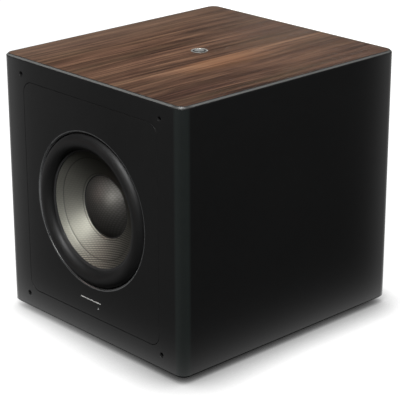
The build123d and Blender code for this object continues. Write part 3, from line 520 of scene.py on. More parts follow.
def tube(name, pts, rad_mm, seg=14, steps=90, braid=0.0, twist=0.0):
    """A smooth closed tube through points in metres, with an optional braid relief."""
    P = np.array(pts, float)
    n = len(P)
    t = np.concatenate([[0], np.cumsum(np.linalg.norm(np.diff(P, axis=0), axis=1))])
    t /= t[-1]
    # Catmull-Rom through the points
    q = np.linspace(0, 1, steps)
    out = []
    for s in q:
        i = min(max(np.searchsorted(t, s, side="right") - 1, 0), n - 2)
        f = (s - t[i]) / (t[i + 1] - t[i])
        p0, p1, p2, p3 = P[max(i - 1, 0)], P[i], P[i + 1], P[min(i + 2, n - 1)]
        out.append(0.5 * ((2 * p1) + (-p0 + p2) * f + (2 * p0 - 5 * p1 + 4 * p2 - p3) * f * f + (-p0 + 3 * p1 - 3 * p2 + p3) * f ** 3))
    C = np.array(out)
    T = np.gradient(C, axis=0)
    T /= np.linalg.norm(T, axis=1)[:, None]
    up = np.array([0.31, 0.22, 0.92])
    V = []
    for k in range(steps):
        a = np.cross(T[k], up)
        a /= np.linalg.norm(a)
        b = np.cross(T[k], a)
        for m in range(seg):
            th = 2 * math.pi * m / seg
            rr = rad_mm * MM * (1 + braid * math.sin(th * 3 + k * twist) * math.sin(th * 3 - k * twist))
            V.append(C[k] + rr * (math.cos(th) * a + math.sin(th) * b))
    F = []
    for k in range(steps - 1):
        for m in range(seg):
            m2 = (m + 1) % seg
            F.append((k * seg + m, k * seg + m2, (k + 1) * seg + m2, (k + 1) * seg + m))
    F.append(tuple(range(seg))[::-1])
    F.append(tuple((steps - 1) * seg + m for m in range(seg)))
    o = mesh_obj(name, V, F)
    fix_normals(o)
    return o


def join(name, objs):
    bm = bmesh.new()
    for o in objs:
        bm.from_mesh(o.data)
    me = bpy.data.meshes.new(name)
    bm.to_mesh(me)
    bm.free()
    for o in objs:
        bpy.data.objects.remove(o)
    o = bpy.data.objects.new(name, me)
    scene.collection.objects.link(o)
    me.polygons.foreach_set("use_smooth", [True] * len(me.polygons))
    return o


def dpt(x, down, d):
    return (x * MM, YF + d * MM, ZC - down * MM)


lead_parts = []
for sx in (-1, 1):
    pts = [dpt(sx * 9, 95.5, 53.2), dpt(sx * 9.6, 86.5, 46.8), dpt(sx * 10.6, 72, 46.6), dpt(sx * 12.0, 58.5, 41.0), dpt(sx * 12.5, 50.5, 31.7)]
    lead_parts.append(tube("lead", pts, 0.85, 16, 160, 0.12, 0.55))
leads = join("tinsel_lead_braids", lead_parts)
r, _ = radius_of(leads)
radial_blend(leads)
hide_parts("tinsel_leads")

cab = []
for sx in (-1, 1):
    pts = [(0.030 + sx * 0.002, 0.1500, 0.112), (0.030 + sx * 0.002, 0.128, 0.111), (0.016 + sx * 0.002, 0.080, 0.103), (0.006 + sx * 0.002, 0.029, 0.099),
           (sx * 0.0022, -0.060, 0.101), (sx * 0.0065, -0.125, 0.113), (sx * 0.009, -0.1455, 0.117)]
    cab.append(tube("c", pts, 1.5, 16, 140))
cable = join("driver_cable_twin", cab)
for v in cable.data.vertices:
    v.co.y += YO
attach(cable, "cabinet")
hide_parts("driver_cable")

# wadding: each lining sheet as a soft quilted pad inside its CAD solid
wad_lo_hi = []
bmw = bmesh.new()
bmw.from_mesh(N["damping_wadding"].data)
bmesh.ops.remove_doubles(bmw, verts=bmw.verts, dist=1e-6)
seen = set()
for f in bmw.faces:
    if f.index in seen:
        continue
    stack, vs = [f], set()
    while stack:
        g = stack.pop()
        if g.index in seen:
            continue
        seen.add(g.index)
        for v in g.verts:
            vs.add(v)
            stack += [h for h in v.link_faces if h.index not in seen]
    co = np.array([v.co for v in vs])
    wad_lo_hi.append((co.min(0), co.max(0)))
bmw.free()


def pad(name, lo, hi, cell=0.012, seed=0):
    """A crowned soft sheet: thick in the middle, thin and pulled in at its edges, lumpy like loose fibre."""
    lo, hi = np.array(lo), np.array(hi)
    size = hi - lo
    ax = int(np.argmin(size))
    u, v = [a for a in range(3) if a != ax]
    nu, nv = max(8, int(size[u] / cell)), max(8, int(size[v] / cell))
    V, F = [], []

    def pt(iu, iv, side):
        fu, fv = iu / nu, iv / nv
        e = min(fu, 1 - fu) * nu / 2.2, min(fv, 1 - fv) * nv / 2.2
        edge = math.sqrt(max(0.0, 1 - (1 - min(1.0, e[0])) ** 2)) * math.sqrt(max(0.0, 1 - (1 - min(1.0, e[1])) ** 2))
        p = np.zeros(3)
        p[u] = lo[u] + size[u] * (0.012 + 0.976 * fu)
        p[v] = lo[v] + size[v] * (0.012 + 0.976 * fv)
        n = noise.fractal(Vector((p[u] * 22 + seed, p[v] * 22, side * 3.7 + seed)), 0.7, 2.1, 4)
        half = size[ax] / 2 * (0.30 + 0.48 * edge + 0.14 * n * edge)
        p[ax] = (lo[ax] + hi[ax]) / 2 + side * min(half, size[ax] / 2 * 0.98)
        q = noise.noise(Vector((p[u] * 9, p[v] * 9, seed + 5)))
        p[u] += 0.0018 * q * edge
        return p
    top = {}
    bot = {}
    for iu in range(nu + 1):
        for iv in range(nv + 1):
            top[iu, iv] = len(V)
            V.append(pt(iu, iv, 1))
            bot[iu, iv] = len(V)
            V.append(pt(iu, iv, -1))
    for iu in range(nu):
        for iv in range(nv):
            F.append((top[iu, iv], top[iu + 1, iv], top[iu + 1, iv + 1], top[iu, iv + 1]))
            F.append((bot[iu, iv], bot[iu, iv + 1], bot[iu + 1, iv + 1], bot[iu + 1, iv]))
    for iu in range(nu):
        F.append((top[iu, 0], bot[iu, 0], bot[iu + 1, 0], top[iu + 1, 0]))
        F.append((top[iu, nv], top[iu + 1, nv], bot[iu + 1, nv], bot[iu, nv]))
    for iv in range(nv):
        F.append((top[0, iv], top[0, iv + 1], bot[0, iv + 1], bot[0, iv]))
        F.append((top[nu, iv], bot[nu, iv], bot[nu, iv + 1], top[nu, iv + 1]))
    o = mesh_obj(name, V, F)
    fix_normals(o)
    return o


pads = [pad(f"p{k}", lo, hi, seed=11.0 * k) for k, (lo, hi) in enumerate(sorted(wad_lo_hi, key=lambda a: tuple(a[0])))]
wad = join("wadding_sheets", pads)
add_mod(wad, "SUBSURF", levels=1, render_levels=1)
apply_mods(wad)
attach(wad, "cabinet")
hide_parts("damping_wadding")

# rear panel: printed scales round the knobs, and the white fill of each knob's pointer groove
PANY = N["heat_sink"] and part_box("heat_sink")[0].y          # pan floor
POTZ = (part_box("volume_knob")[0].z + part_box("volume_knob")[1].z) / 2


def slab(bm, c, half, ang=0.0):
    """A thin bar in the XZ plane, turned by ang about Y, with softened corners."""
    ca, sa = math.cos(ang), math.sin(ang)
    hx, hy, hz = half
    k = min(hx, hz) * 0.35
    ring = [(-hx + k, -hz), (hx - k, -hz), (hx, -hz + k), (hx, hz - k), (hx - k, hz), (-hx + k, hz), (-hx, hz - k), (-hx, -hz + k)]
    layers = [(-hy, 1.0), (hy * 0.6, 1.0), (hy, 0.82)]
    vs = []
    for dy, f in layers:
        vs.append([bm.verts.new((c[0] + (x * f) * ca + (z * f) * sa, c[1] + dy, c[2] - (x * f) * sa + (z * f) * ca)) for x, z in ring])
    for a in range(len(layers) - 1):
        for q in range(8):
            q2 = (q + 1) % 8
            bm.faces.new((vs[a][q], vs[a][q2], vs[a + 1][q2], vs[a + 1][q]))
    bm.faces.new(vs[0][::-1])
    bm.faces.new(vs[-1])


def from_bm(name, bm):
    bmesh.ops.recalc_face_normals(bm, faces=bm.faces)
    me = bpy.data.meshes.new(name)
    bm.to_mesh(me)
    bm.free()
    o = bpy.data.objects.new(name, me)
    scene.collection.objects.link(o)
    return o


bm = bmesh.new()
for kn in ("volume_knob", "crossover_knob"):
    lo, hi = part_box(kn)
    cx = (lo.x + hi.x) / 2
    for k in range(11):
        a = math.radians(-150 + 30 * k)
        long_ = k in (0, 5, 10)
        r0, r1 = 0.0148, (0.0182 if long_ else 0.0170)
        rm, hl = (r0 + r1) / 2, (r1 - r0) / 2
        slab(bm, (cx + rm * math.sin(a), PANY + 0.00006, POTZ + rm * math.cos(a)), (0.00045 if long_ else 0.00030, 0.00009, hl), a)
scales = from_bm("printed_scales", bm)
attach(scales, "cabinet")
for kn, body in (("volume_knob", "volume_control"), ("crossover_knob", "crossover_control")):
    lo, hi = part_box(kn)
    bm = bmesh.new()
    slab(bm, ((lo.x + hi.x) / 2, hi.y - 0.00033, POTZ + 0.0073), (0.00045, 0.00027, 0.0029))
    o = from_bm(kn + "_pointer", bm)
    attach(o, body)

# ---------------------------------------------------------------------------
# materials
# ---------------------------------------------------------------------------
def black_satin(name, base=(0.0080, 0.0082, 0.0083), rough=(0.30, 0.36), bevel=0.0006, spec=0.32, lip=False):
    """Satin black lacquer: barely uneven colour, faint orange peel, fine grit, rounded edges that catch the light, with
    a painted highlight along them.
    """
    t = Tree(name)
    cloud = t.noise(None, 5.0, 3.0, 0.6)
    mid = t.noise(None, 70.0, 3.0, 0.6)
    grit = t.noise(None, 2600.0, 2.0, 0.7)
    peel = t.noise(None, 520.0, 2.0, 0.5)
    lo = tuple(c * 0.8 for c in base)
    hi = tuple(c * 1.25 for c in base)
    col = t.ramp(t.math("ADD", t.math("MULTIPLY", cloud, 0.6), t.math("MULTIPLY", mid, 0.4)), [(0.3, lo), (0.7, hi)])
    speck = t.remap(t.voronoi(None, 900.0), 0.0, 0.10, 1.0, 0.0)
    col = t.mix(t.math("MULTIPLY", speck, 0.10), col, (0.05, 0.05, 0.052))
    # painted highlight: paler colour along the edges
    bev = t.bevel(bevel)
    e = t.math("MULTIPLY", t.edge(bev), t.remap(mid, 0.35, 0.65, 0.3, 1.0))
    col = t.mix(t.math("MULTIPLY", e, 0.35), col, (0.045, 0.047, 0.048))
    h = t.math("ADD", t.math("MULTIPLY", peel, 0.6), t.math("MULTIPLY", grit, 0.4))
    rgh = t.remap(t.math("ADD", t.math("MULTIPLY", grit, 0.5), t.math("MULTIPLY", cloud, 0.5)), 0.3, 0.7, rough[0], rough[1])
    t.set(color=col, rough=rgh, spec=spec, normal=t.bump(h, 0.10, 0.00012, bev))
    if lip:
        # diamond-cut, lightly polished lip round the driver's opening
        x, y, z = t.sep()
        zz = t.math("SUBTRACT", z, ZC)
        r = t.math("SQRT", t.math("ADD", t.math("MULTIPLY", x, x), t.math("MULTIPLY", zz, zz)))
        band = t.remap(r, 0.1214, 0.1222, 1.0, 0.0)
        t.set(rough=t.math("MULTIPLY", rgh, t.remap(band, 0.0, 1.0, 1.0, 0.62)), coat=t.math("MULTIPLY", band, 0.9), coat_rough=0.16,
              metal=t.math("MULTIPLY", band, 0.7), color=t.mix(band, col, (0.22, 0.225, 0.23)))
    return t.mat


def wood(name):
    """Dark straight-grained walnut veneer in two leaves that meet in a line along Y."""
    t = Tree(name)
    x, y, z = t.sep()
    seam = 0.0455
    right = t.math("GREATER_THAN", x, t.math("ADD", seam, t.math("MULTIPLY", y, -0.004)))
    # each leaf has its own figure
    xs = t.math("ADD", x, t.math("MULTIPLY", right, 0.731))
    ys = t.math("ADD", y, t.math("MULTIPLY", right, 0.37))
    bend = t.noise(t.comb(t.math("MULTIPLY", xs, 5.0), t.math("MULTIPLY", ys, 3.2), 0.0), 1.0, 2.0, 0.5)
    xw = t.math("ADD", xs, t.math("MULTIPLY", t.math("SUBTRACT", bend, 0.5), 0.016))
    def streak(fx, fy, d, r, off):
        return t.noise(t.comb(t.math("MULTIPLY", xw, fx), t.math("MULTIPLY", ys, fy), off), 1.0, d, r)
    broad = streak(34.0, 1.1, 2.0, 0.5, 0.0)
    mids = streak(120.0, 4.0, 3.0, 0.6, 3.1)
    fine = streak(330.0, 8.0, 3.0, 0.6, 7.7)
    lines = t.remap(streak(240.0, 5.0, 2.0, 0.5, 17.3), 0.36, 0.62, -0.5, 0.5)
    mottle = t.noise(t.comb(t.math("MULTIPLY", xw, 34.0), t.math("MULTIPLY", ys, 17.0), 5.0), 1.0, 3.0, 0.6)
    hair = streak(1500.0, 16.0, 3.0, 0.6, 12.0)
    # broad tone across the panel, left edge to right edge
    pos = t.remap(x, -0.196, 0.196, 0.0, 1.0)
    stops = [(0.0, 0.60), (0.06, 0.66), (0.14, 0.56), (0.24, 0.53), (0.33, 0.44), (0.385, 0.34), (0.43, 0.50), (0.52, 0.50), (0.575, 0.42),
             (0.607, 0.33), (0.6165, 0.34), (0.6175, 0.77), (0.64, 0.71), (0.70, 0.56), (0.76, 0.41), (0.82, 0.49), (0.90, 0.37), (1.0, 0.33)]
    tone = t.ramp(pos, [(p, (v, v, v)) for p, v in stops])
    tone = t.math("MULTIPLY", tone, 1.0)
    f = t.math("ADD", t.math("MULTIPLY", tone, 0.62), t.math("MULTIPLY", t.math("SUBTRACT", broad, 0.5), 0.36))
    # the figure is quieter toward the left and front edges
    calm = t.math("MINIMUM", t.remap(x, -0.19, -0.07, 0.66, 1.0), t.remap(y, -0.20, -0.08, 0.80, 1.0))
    figure = t.math("MULTIPLY", t.math("SUBTRACT", mids, 0.5), 0.74)
    figure = t.math("ADD", figure, t.math("MULTIPLY", t.math("SUBTRACT", fine, 0.5), 0.92))
    figure = t.math("ADD", figure, t.math("MULTIPLY", lines, 0.24))
    f = t.math("ADD", f, t.math("MULTIPLY", figure, calm))
    f = t.math("SUBTRACT", f, t.remap(y, -0.20, -0.05, 0.024, 0.0))
    f = t.math("ADD", f, t.math("MULTIPLY", t.math("SUBTRACT", mottle, 0.5), 0.22))
    # darker toward the near right corner; paler toward the left edge, a painted sheen
    f = t.math("SUBTRACT", f, t.math("MULTIPLY", t.math("MULTIPLY", t.remap(y, -0.16, 0.02, 1.0, 0.0), t.remap(x, 0.05, 0.11, 0.15, 1.0)), 0.13))
    f = t.math("ADD", f, t.remap(x, -0.195, -0.125, 0.072, 0.0))
    gold = t.math("MULTIPLY", t.math("MULTIPLY", right, t.remap(x, 0.075, 0.10, 1.0, 0.0)), t.remap(t.math("ABSOLUTE", t.math("SUBTRACT", y, -0.01)), 0.03, 0.11, 1.0, 0.0))
    f = t.math("ADD", f, t.math("MULTIPLY", gold, 0.012))
    f = t.math("ADD", f, 0.142)
    col = t.ramp(f, [(0.10, (0.028, 0.0135, 0.0090)), (0.32, (0.076, 0.038, 0.0240)), (0.50, (0.142, 0.074, 0.0455)), (0.68, (0.225, 0.122, 0.0730)), (0.90, (0.34, 0.200, 0.120))])
    # hue drift between rosy and olive
    hue = t.noise(t.comb(t.math("MULTIPLY", xw, 26.0), t.math("MULTIPLY", ys, 3.0), 21.0), 1.0, 3.0, 0.6)
    col = t.mix(t.remap(hue, 0.52, 0.72, 0.0, 0.35), col, (0.12, 0.085, 0.045), "MIX")
    col = t.mix(t.remap(hue, 0.48, 0.28, 0.0, 0.30), col, (0.17, 0.075, 0.058), "MIX")
    col = t.mix(t.math("MULTIPLY", gold, 0.35), col, (0.30, 0.130, 0.055))
    # painted sheen: paler and greyer toward the back and toward the left edge, less on the right leaf
    painted_sheen = t.math("MAXIMUM", t.math("MULTIPLY", t.remap(y, 0.0, 0.19, 0.0, 0.34), t.remap(right, 0.0, 1.0, 1.0, 0.45)), t.remap(x, -0.10, -0.19, 0.0, 0.44))
    col = t.mix(painted_sheen, col, (0.150, 0.112, 0.088))
    # open pores: short dark dashes along the grain
    cellv = t.comb(t.math("MULTIPLY", xw, 950.0), t.math("MULTIPLY", ys, 62.0), 2.0)
    pore = t.remap(t.noise(cellv, 1.0, 1.0, 0.4), 0.64, 0.72, 0.0, 1.0)
    pore = t.math("MULTIPLY", pore, t.remap(mids, 0.35, 0.6, 1.0, 0.35))
    col = t.mix(t.math("MULTIPLY", pore, 0.55), col, (0.020, 0.011, 0.008))
    # the joint between the leaves
    dj = t.math("ABSOLUTE", t.math("SUBTRACT", x, t.math("ADD", seam, t.math("MULTIPLY", y, -0.004))))
    joint = t.remap(dj, 0.0, 0.00045, 0.6, 0.0)
    col = t.mix(joint, col, (0.018, 0.010, 0.008))
    # darker edge next to the metal frame
    rim = t.math("MAXIMUM", t.math("SUBTRACT", t.math("ABSOLUTE", x), 0.1942), t.math("SUBTRACT", t.math("ABSOLUTE", t.math("SUBTRACT", y, YO)), 0.2147))
    col = t.mix(t.remap(rim, 0.0, 0.0012, 0.0, 0.65), col, (0.010, 0.007, 0.006))
    h = t.math("SUBTRACT", t.math("ADD", t.math("MULTIPLY", fine, 0.5), t.math("MULTIPLY", hair, 0.35)), t.math("MULTIPLY", pore, 0.9))
    rough = t.math("ADD", t.remap(fine, 0.3, 0.7, 0.36, 0.50), t.math("MULTIPLY", pore, 0.12))
    t.set(color=col, rough=rough, spec=0.32, coat=0.06, coat_rough=0.28, normal=t.bump(h, 0.22, 0.00018))
    return t.mat


M = {}
M["cabinet"] = black_satin("satin_black_lacquer")
M["fascia"] = black_satin("satin_black_fascia", base=(0.0083, 0.0085, 0.0086), rough=(0.31, 0.37), bevel=0.0007, lip=True)
M["base"] = finish_mat("sealed_base", (0.010, 0.010, 0.010), (0.022, 0.021, 0.020), (0.6, 0.75), scale=30, bump=0.4, bscale=700, bevel=0.0005, stretch=(1, 1, 1))
M["board"] = finish_mat("bare_fibreboard", (0.30, 0.20, 0.115), (0.42, 0.29, 0.17), (0.75, 0.9), scale=90, bump=0.5, bscale=1500, spec=0.2)
M["wood"] = wood("walnut_veneer_leaves")
M["cone"] = weave_material("woven_glass_cone", (0.97, 0.97, 0.87), (0.80, 0.79, 0.70), (0.10, 0.092, 0.075), (0.41, 0.48), 0.0, 0.35, 0.5, 0.40, 0.97, 0.98, 0.12, ((0.0785, 0.0011), (0.0515, 0.0009)),
                           lean=0.9, gate=(0.020, 0.062), top_shadow_keep=0.42)
M["cap"] = weave_material("woven_coated_cap", (0.36, 0.35, 0.33), (0.26, 0.25, 0.235), (0.030, 0.028, 0.026), (0.40, 0.50), 0.5, 0.32, 0.5, 0.30, 0.90, 0.35, 0.65)


def rubber(name, base=(0.0055, 0.0055, 0.0057), rough=(0.44, 0.52), spec=0.4, bead=None):
    t = Tree(name)
    n1 = t.noise(None, 40.0, 4.0, 0.6)
    n2 = t.noise(None, 1400.0, 2.0, 0.6)
    dust = t.remap(t.noise(None, 310.0, 3.0, 0.75), 0.62, 0.80, 0.0, 0.10)
    col = t.ramp(n1, [(0.3, tuple(c * 0.8 for c in base)), (0.7, tuple(c * 1.4 for c in base))])
    col = t.mix(dust, col, (0.06, 0.058, 0.055))
    rgh = t.remap(n1, 0.3, 0.7, *rough)
    t.set(color=col, rough=rgh, spec=spec, sheen=0.04, sheen_rough=0.5, normal=t.bump(n2, 0.10, 0.00012))
    if bead:
        # the cement line on the inner land is smoother than the roll and coated; its paler colour is a painted
        # highlight along it
        x, y, z = t.sep()
        zz = t.math("SUBTRACT", z, ZC)
        r = t.math("SQRT", t.math("ADD", t.math("MULTIPLY", x, x), t.math("MULTIPLY", zz, zz)))
        m = t.remap(r, bead, bead + 0.0007, 1.0, 0.0)
        t.set(color=t.mix(m, col, (0.040, 0.040, 0.041)), rough=t.math("MULTIPLY", rgh, t.remap(m, 0.0, 1.0, 1.0, 0.62)), coat=t.math("MULTIPLY", m, 0.8), coat_rough=0.25)
    return t.mat


def trim_metal(name):
    """Satin anodised aluminium: fine lengthwise brushing."""
    t = Tree(name)
    g = t.noise(t.scaled((900, 900, 2600)), 1.0, 3.0, 0.6)
    c = t.noise(None, 30.0, 3.0, 0.6)
    bev = t.bevel(0.0004)
    col = t.ramp(t.math("ADD", t.math("MULTIPLY", g, 0.5), t.math("MULTIPLY", c, 0.5)), [(0.3, (0.195, 0.198, 0.193)), (0.7, (0.275, 0.278, 0.270))])
    tx, ty, tz = t.sep()
    # painted shade: the lowest band of the outer wall is painted near-black and less metallic, and so is the flat top
    # of the near sides; the far sides stay bare
    near = t.math("MULTIPLY", t.remap(tx, -0.197, -0.190, 0.15, 1.0), t.remap(ty, 0.205, 0.215, 1.0, 0.15))
    shade_band = t.math("MAXIMUM", t.remap(tz, ZTOP - 0.0026, ZTOP - 0.0019, 1.0, 0.0), t.math("MULTIPLY", t.remap(tz, ZTOP - 0.0006, ZTOP - 0.0002, 0.0, 0.85), near))
    col = t.mix(shade_band, col, (0.010, 0.010, 0.0105))
    # painted highlight: the front run is painted a little brighter than the side's, most of all toward its left end
    run = t.math("MULTIPLY", t.remap(ty, -0.208, -0.213, 0.0, 1.0), t.remap(tx, -0.19, 0.12, 0.20, 0.06))
    col = t.mix(t.math("MULTIPLY", run, t.math("SUBTRACT", 1.0, shade_band)), col, (0.80, 0.80, 0.79))
    # painted shade: the near corner is darkened so it stays duller than the runs
    col = t.mix(t.remap(t.math("SUBTRACT", tx, ty), 0.392, 0.402, 0.0, 0.6), col, (0.02, 0.02, 0.0195))
    t.set(color=col, metal=t.math("SUBTRACT", 0.75, t.math("MULTIPLY", shade_band, 0.5)), rough=t.remap(g, 0.3, 0.7, 0.42, 0.52), normal=t.bump(g, 0.08, 0.00008, bev))
    return t.mat


def polished(name, c=(0.78, 0.78, 0.79), rough=(0.10, 0.18), metal=1.0):
    t = Tree(name)
    sc = t.noise(t.scaled((1500, 160, 1500)), 1.0, 3.0, 0.6)
    sm = t.noise(None, 90.0, 3.0, 0.6)
    t.set(color=t.ramp(sm, [(0.3, tuple(v * 0.92 for v in c)), (0.7, c)]), metal=metal, rough=t.remap(t.math("MULTIPLY", t.math("ADD", sc, sm), 0.5), 0.35, 0.65, *rough),
          normal=t.bump(sc, 0.03, 0.00004, t.bevel(0.00015)))
    return t.mat


M["surround"] = rubber("surround_satin_rubber", base=(0.0042, 0.0042, 0.0044), rough=(0.49, 0.57), spec=0.45, bead=0.0917)
M["rubber"] = rubber("moulded_rubber", base=(0.014, 0.014, 0.014), rough=(0.6, 0.75), spec=0.35)
M["socket"] = rubber("socket_rubber", base=(0.0060, 0.0060, 0.0062), rough=(0.55, 0.68), spec=0.25)
M["trim"] = trim_metal("anodised_trim")
M["polish"] = polished("polished_metal", c=(0.88, 0.88, 0.87), rough=(0.34, 0.44), metal=0.35)


def turned(name):
    """Satin badge: fine turned rings, a blackened groove and a dished middle, no mark on it."""
    t = Tree(name)
    x, y, z = t.sep()
    yy = t.math("SUBTRACT", y, YO)
    r = t.math("SQRT", t.math("ADD", t.math("MULTIPLY", x, x), t.math("MULTIPLY", yy, yy)))
    rings = t.noise(t.comb(t.math("MULTIPLY", r, 5200.0), 0.0, 0.0), 1.0, 2.0, 0.6)
    stain = t.noise(None, 420.0, 3.0, 0.6)
    facet = t.remap(t.math("ABSOLUTE", t.math("SUBTRACT", r, 0.0088)), 0.0009, 0.0014, 0.0, 1.0)
    col = t.ramp(t.math("ADD", t.math("MULTIPLY", rings, 0.6), t.math("MULTIPLY", stain, 0.4)), [(0.3, (0.46, 0.46, 0.44)), (0.7, (0.70, 0.70, 0.67))])
    # painted light: lobes as light falls on turned metal, painted paler toward the left and duller toward the back
    # right
    painted_light_lobe = t.remap(t.math("DIVIDE", t.math("SUBTRACT", t.math("MULTIPLY", yy, 0.6), t.math("MULTIPLY", x, 0.8)), t.math("MAXIMUM", r, 0.0005)), -0.9, 0.9, 0.45, 1.0)
    col = t.mix(1.0, col, t.comb(painted_light_lobe, painted_light_lobe, painted_light_lobe), "MULTIPLY")
    col = t.mix(facet, (0.045, 0.045, 0.044), col)
    dish = t.remap(r, 0.0, 0.0074, 0.0, 1.0)
    t.set(color=col, metal=0.45, rough=t.remap(rings, 0.3, 0.7, 0.34, 0.50),
          normal=t.bump(t.math("ADD", t.math("ADD", rings, t.math("MULTIPLY", dish, 0.8)), t.math("MULTIPLY", facet, 0.8)), 0.25, 0.00010, t.bevel(0.00025)))
    return t.mat


M["badge"] = turned("turned_badge")
M["nylon"] = finish_mat("moulded_nylon", (0.016, 0.016, 0.017), (0.030, 0.030, 0.031), (0.42, 0.55), scale=80, bump=0.12, bscale=1100, bevel=0.0003)
M["cloth"] = finish_mat("dipped_cloth", (0.34, 0.20, 0.045), (0.50, 0.32, 0.085), (0.6, 0.8), scale=60, bump=0.6, bscale=1500, vor=True, spec=0.25)
M["fibre"] = finish_mat("polyester_fibre", (0.62, 0.62, 0.60), (0.82, 0.82, 0.79), (0.85, 1.0), scale=40, bump=0.9, bscale=420, bdist=0.002, spec=0.1, sheen=0.4, stretch=(1, 1.6, 1))
M["casting"] = finish_mat("powder_coated_casting", (0.012, 0.012, 0.013), (0.024, 0.024, 0.025), (0.5, 0.62), scale=50, bump=0.5, bscale=1200, bdist=0.0002, bevel=0.0008, wear=0.3, wear_c=(0.16, 0.16, 0.165))
M["former"] = finish_mat("rolled_aluminium", (0.48, 0.47, 0.45), (0.66, 0.65, 0.62), (0.28, 0.4), metal=1.0, scale=50, bump=0.1, bscale=600, stretch=(1, 6, 1))
M["copper"] = finish_mat("enamelled_copper", (0.55, 0.19, 0.07), (0.78, 0.33, 0.13), (0.22, 0.36), metal=1.0, scale=80, bump=0.5, bscale=3000, stretch=(0.2, 1.0, 0.2))
M["zinc"] = finish_mat("zinc_plate", (0.46, 0.47, 0.47), (0.66, 0.67, 0.66), (0.26, 0.40), metal=1.0, scale=110, bump=0.15, bscale=800, bevel=0.0003, wear=0.3, wear_c=(0.75, 0.75, 0.73))
M["oxide"] = finish_mat("black_oxide_screw", (0.018, 0.018, 0.019), (0.04, 0.04, 0.042), (0.32, 0.45), metal=0.7, scale=160, bump=0.15, bscale=1500, bevel=0.0002, wear=0.6, wear_c=(0.28, 0.27, 0.26))
M["ferrite"] = finish_mat("ground_ferrite", (0.045, 0.045, 0.048), (0.085, 0.084, 0.086), (0.42, 0.58), metal=0.2, scale=120, bump=0.35, bscale=1400, bevel=0.0006, wear=0.3, wear_c=(0.16, 0.155, 0.15))
M["powder"] = finish_mat("textured_powder_coat", (0.017, 0.017, 0.0178), (0.033, 0.033, 0.0345), (0.5, 0.64), scale=24, bump=0.55, bscale=1500, bdist=0.00016, bevel=0.0006, wear=0.25, wear_c=(0.10, 0.10, 0.10), vor=True)
M["sink"] = finish_mat("black_anodised_sink", (0.045, 0.045, 0.049), (0.085, 0.085, 0.091), (0.34, 0.46), metal=0.6, scale=50, bump=0.15, bscale=900, stretch=(3, 3, 0.25), bevel=0.0004, wear=0.35, wear_c=(0.22, 0.22, 0.22))
M["sheet"] = finish_mat("galvanised_sheet", (0.38, 0.39, 0.40), (0.60, 0.61, 0.61), (0.30, 0.5), metal=1.0, scale=70, bump=0.12, bscale=260, vor=True, bevel=0.0006)
M["epoxy"] = finish_mat("moulded_epoxy", (0.014, 0.014, 0.015), (0.026, 0.026, 0.027), (0.5, 0.6), scale=150, bump=0.3, bscale=1800, bevel=0.0003)
M["sleeve"] = finish_mat("shrink_sleeve", (0.012, 0.014, 0.05), (0.02, 0.024, 0.075), (0.18, 0.3), scale=40, bump=0.06, bscale=400, coat=0.4)
M["tape"] = finish_mat("winding_tape", (0.50, 0.32, 0.05), (0.66, 0.46, 0.10), (0.3, 0.42), scale=60, bump=0.5, bscale=220, stretch=(1, 0.3, 1), coat=0.3)
M["jacket"] = finish_mat("cable_jacket", (0.014, 0.014, 0.015), (0.030, 0.030, 0.031), (0.4, 0.52), scale=80, bump=0.2, bscale=900)
M["knob"] = finish_mat("knob_plastic", (0.020, 0.020, 0.0205), (0.036, 0.036, 0.037), (0.36, 0.48), scale=90, bump=0.14, bscale=1600, bevel=0.0003, wear=0.3, wear_c=(0.07, 0.07, 0.07))
M["ink"] = finish_mat("printing_ink", (0.50, 0.50, 0.49), (0.66, 0.66, 0.64), (0.5, 0.62), scale=300, bump=0.2, bscale=2600, bevel=0.00008)
M["slider"] = finish_mat("slider_nylon", (0.20, 0.20, 0.195), (0.30, 0.30, 0.29), (0.40, 0.52), scale=200, bump=0.15, bscale=2400, bevel=0.00015)
M["gold"] = finish_mat("gold_flash", (0.72, 0.50, 0.18), (0.86, 0.64, 0.27), (0.16, 0.28), metal=1.0, scale=140, bump=0.08, bscale=1200, bevel=0.0002)
M["nickel"] = finish_mat("nickel_plate", (0.56, 0.55, 0.52), (0.72, 0.71, 0.67), (0.16, 0.28), metal=1.0, scale=140, bump=0.08, bscale=1200, bevel=0.0002)


def lens(name):
    t = Tree(name)
    n = t.noise(None, 900.0, 2.0, 0.5)
    t.set(color=t.ramp(n, [(0.3, (0.50, 0.51, 0.52)), (0.7, (0.62, 0.63, 0.64))]), rough=t.remap(n, 0.3, 0.7, 0.14, 0.26), ior=1.49, spec=0.5,
          emit=(0.9, 0.95, 1.0), emit_s=0.05, normal=t.bump(n, 0.05, 0.00005))
    return t.mat


def pcb(name):
    """Solder mask with faint tracks and pads."""
    t = Tree(name)
    x, y, z = t.sep()
    v = t.comb(t.math("SNAP", x, 0.0022), 0.0, t.math("SNAP", z, 0.0022))
    cell = t.noise(v, 430.0, 0.0, 0.5)
    gx = t.math("LESS_THAN", t.math("ABSOLUTE", t.math("SUBTRACT", t.math("FRACT", t.math("MULTIPLY", x, 454.0)), 0.5)), 0.14)
    gz = t.math("LESS_THAN", t.math("ABSOLUTE", t.math("SUBTRACT", t.math("FRACT", t.math("MULTIPLY", z, 454.0)), 0.5)), 0.14)
    pick = t.math("GREATER_THAN", cell, 0.52)
    track = t.math("ADD", t.math("MULTIPLY", gx, pick), t.math("MULTIPLY", gz, t.math("SUBTRACT", 1.0, pick)), clamp=True)
    padm = t.math("MULTIPLY", t.math("MULTIPLY", gx, gz), t.math("GREATER_THAN", cell, 0.56))
    n = t.noise(None, 50.0, 3.0, 0.6)
    col = t.ramp(n, [(0.3, (0.008, 0.060, 0.024)), (0.7, (0.014, 0.095, 0.038))])
    col = t.mix(t.math("MULTIPLY", track, 0.6), col, (0.03, 0.19, 0.08))
    col = t.mix(padm, col, (0.60, 0.56, 0.50))
    t.set(color=col, rough=0.32, coat=0.3, metal=t.math("MULTIPLY", padm, 0.9), normal=t.bump(track, 0.2, 0.00006))
    return t.mat


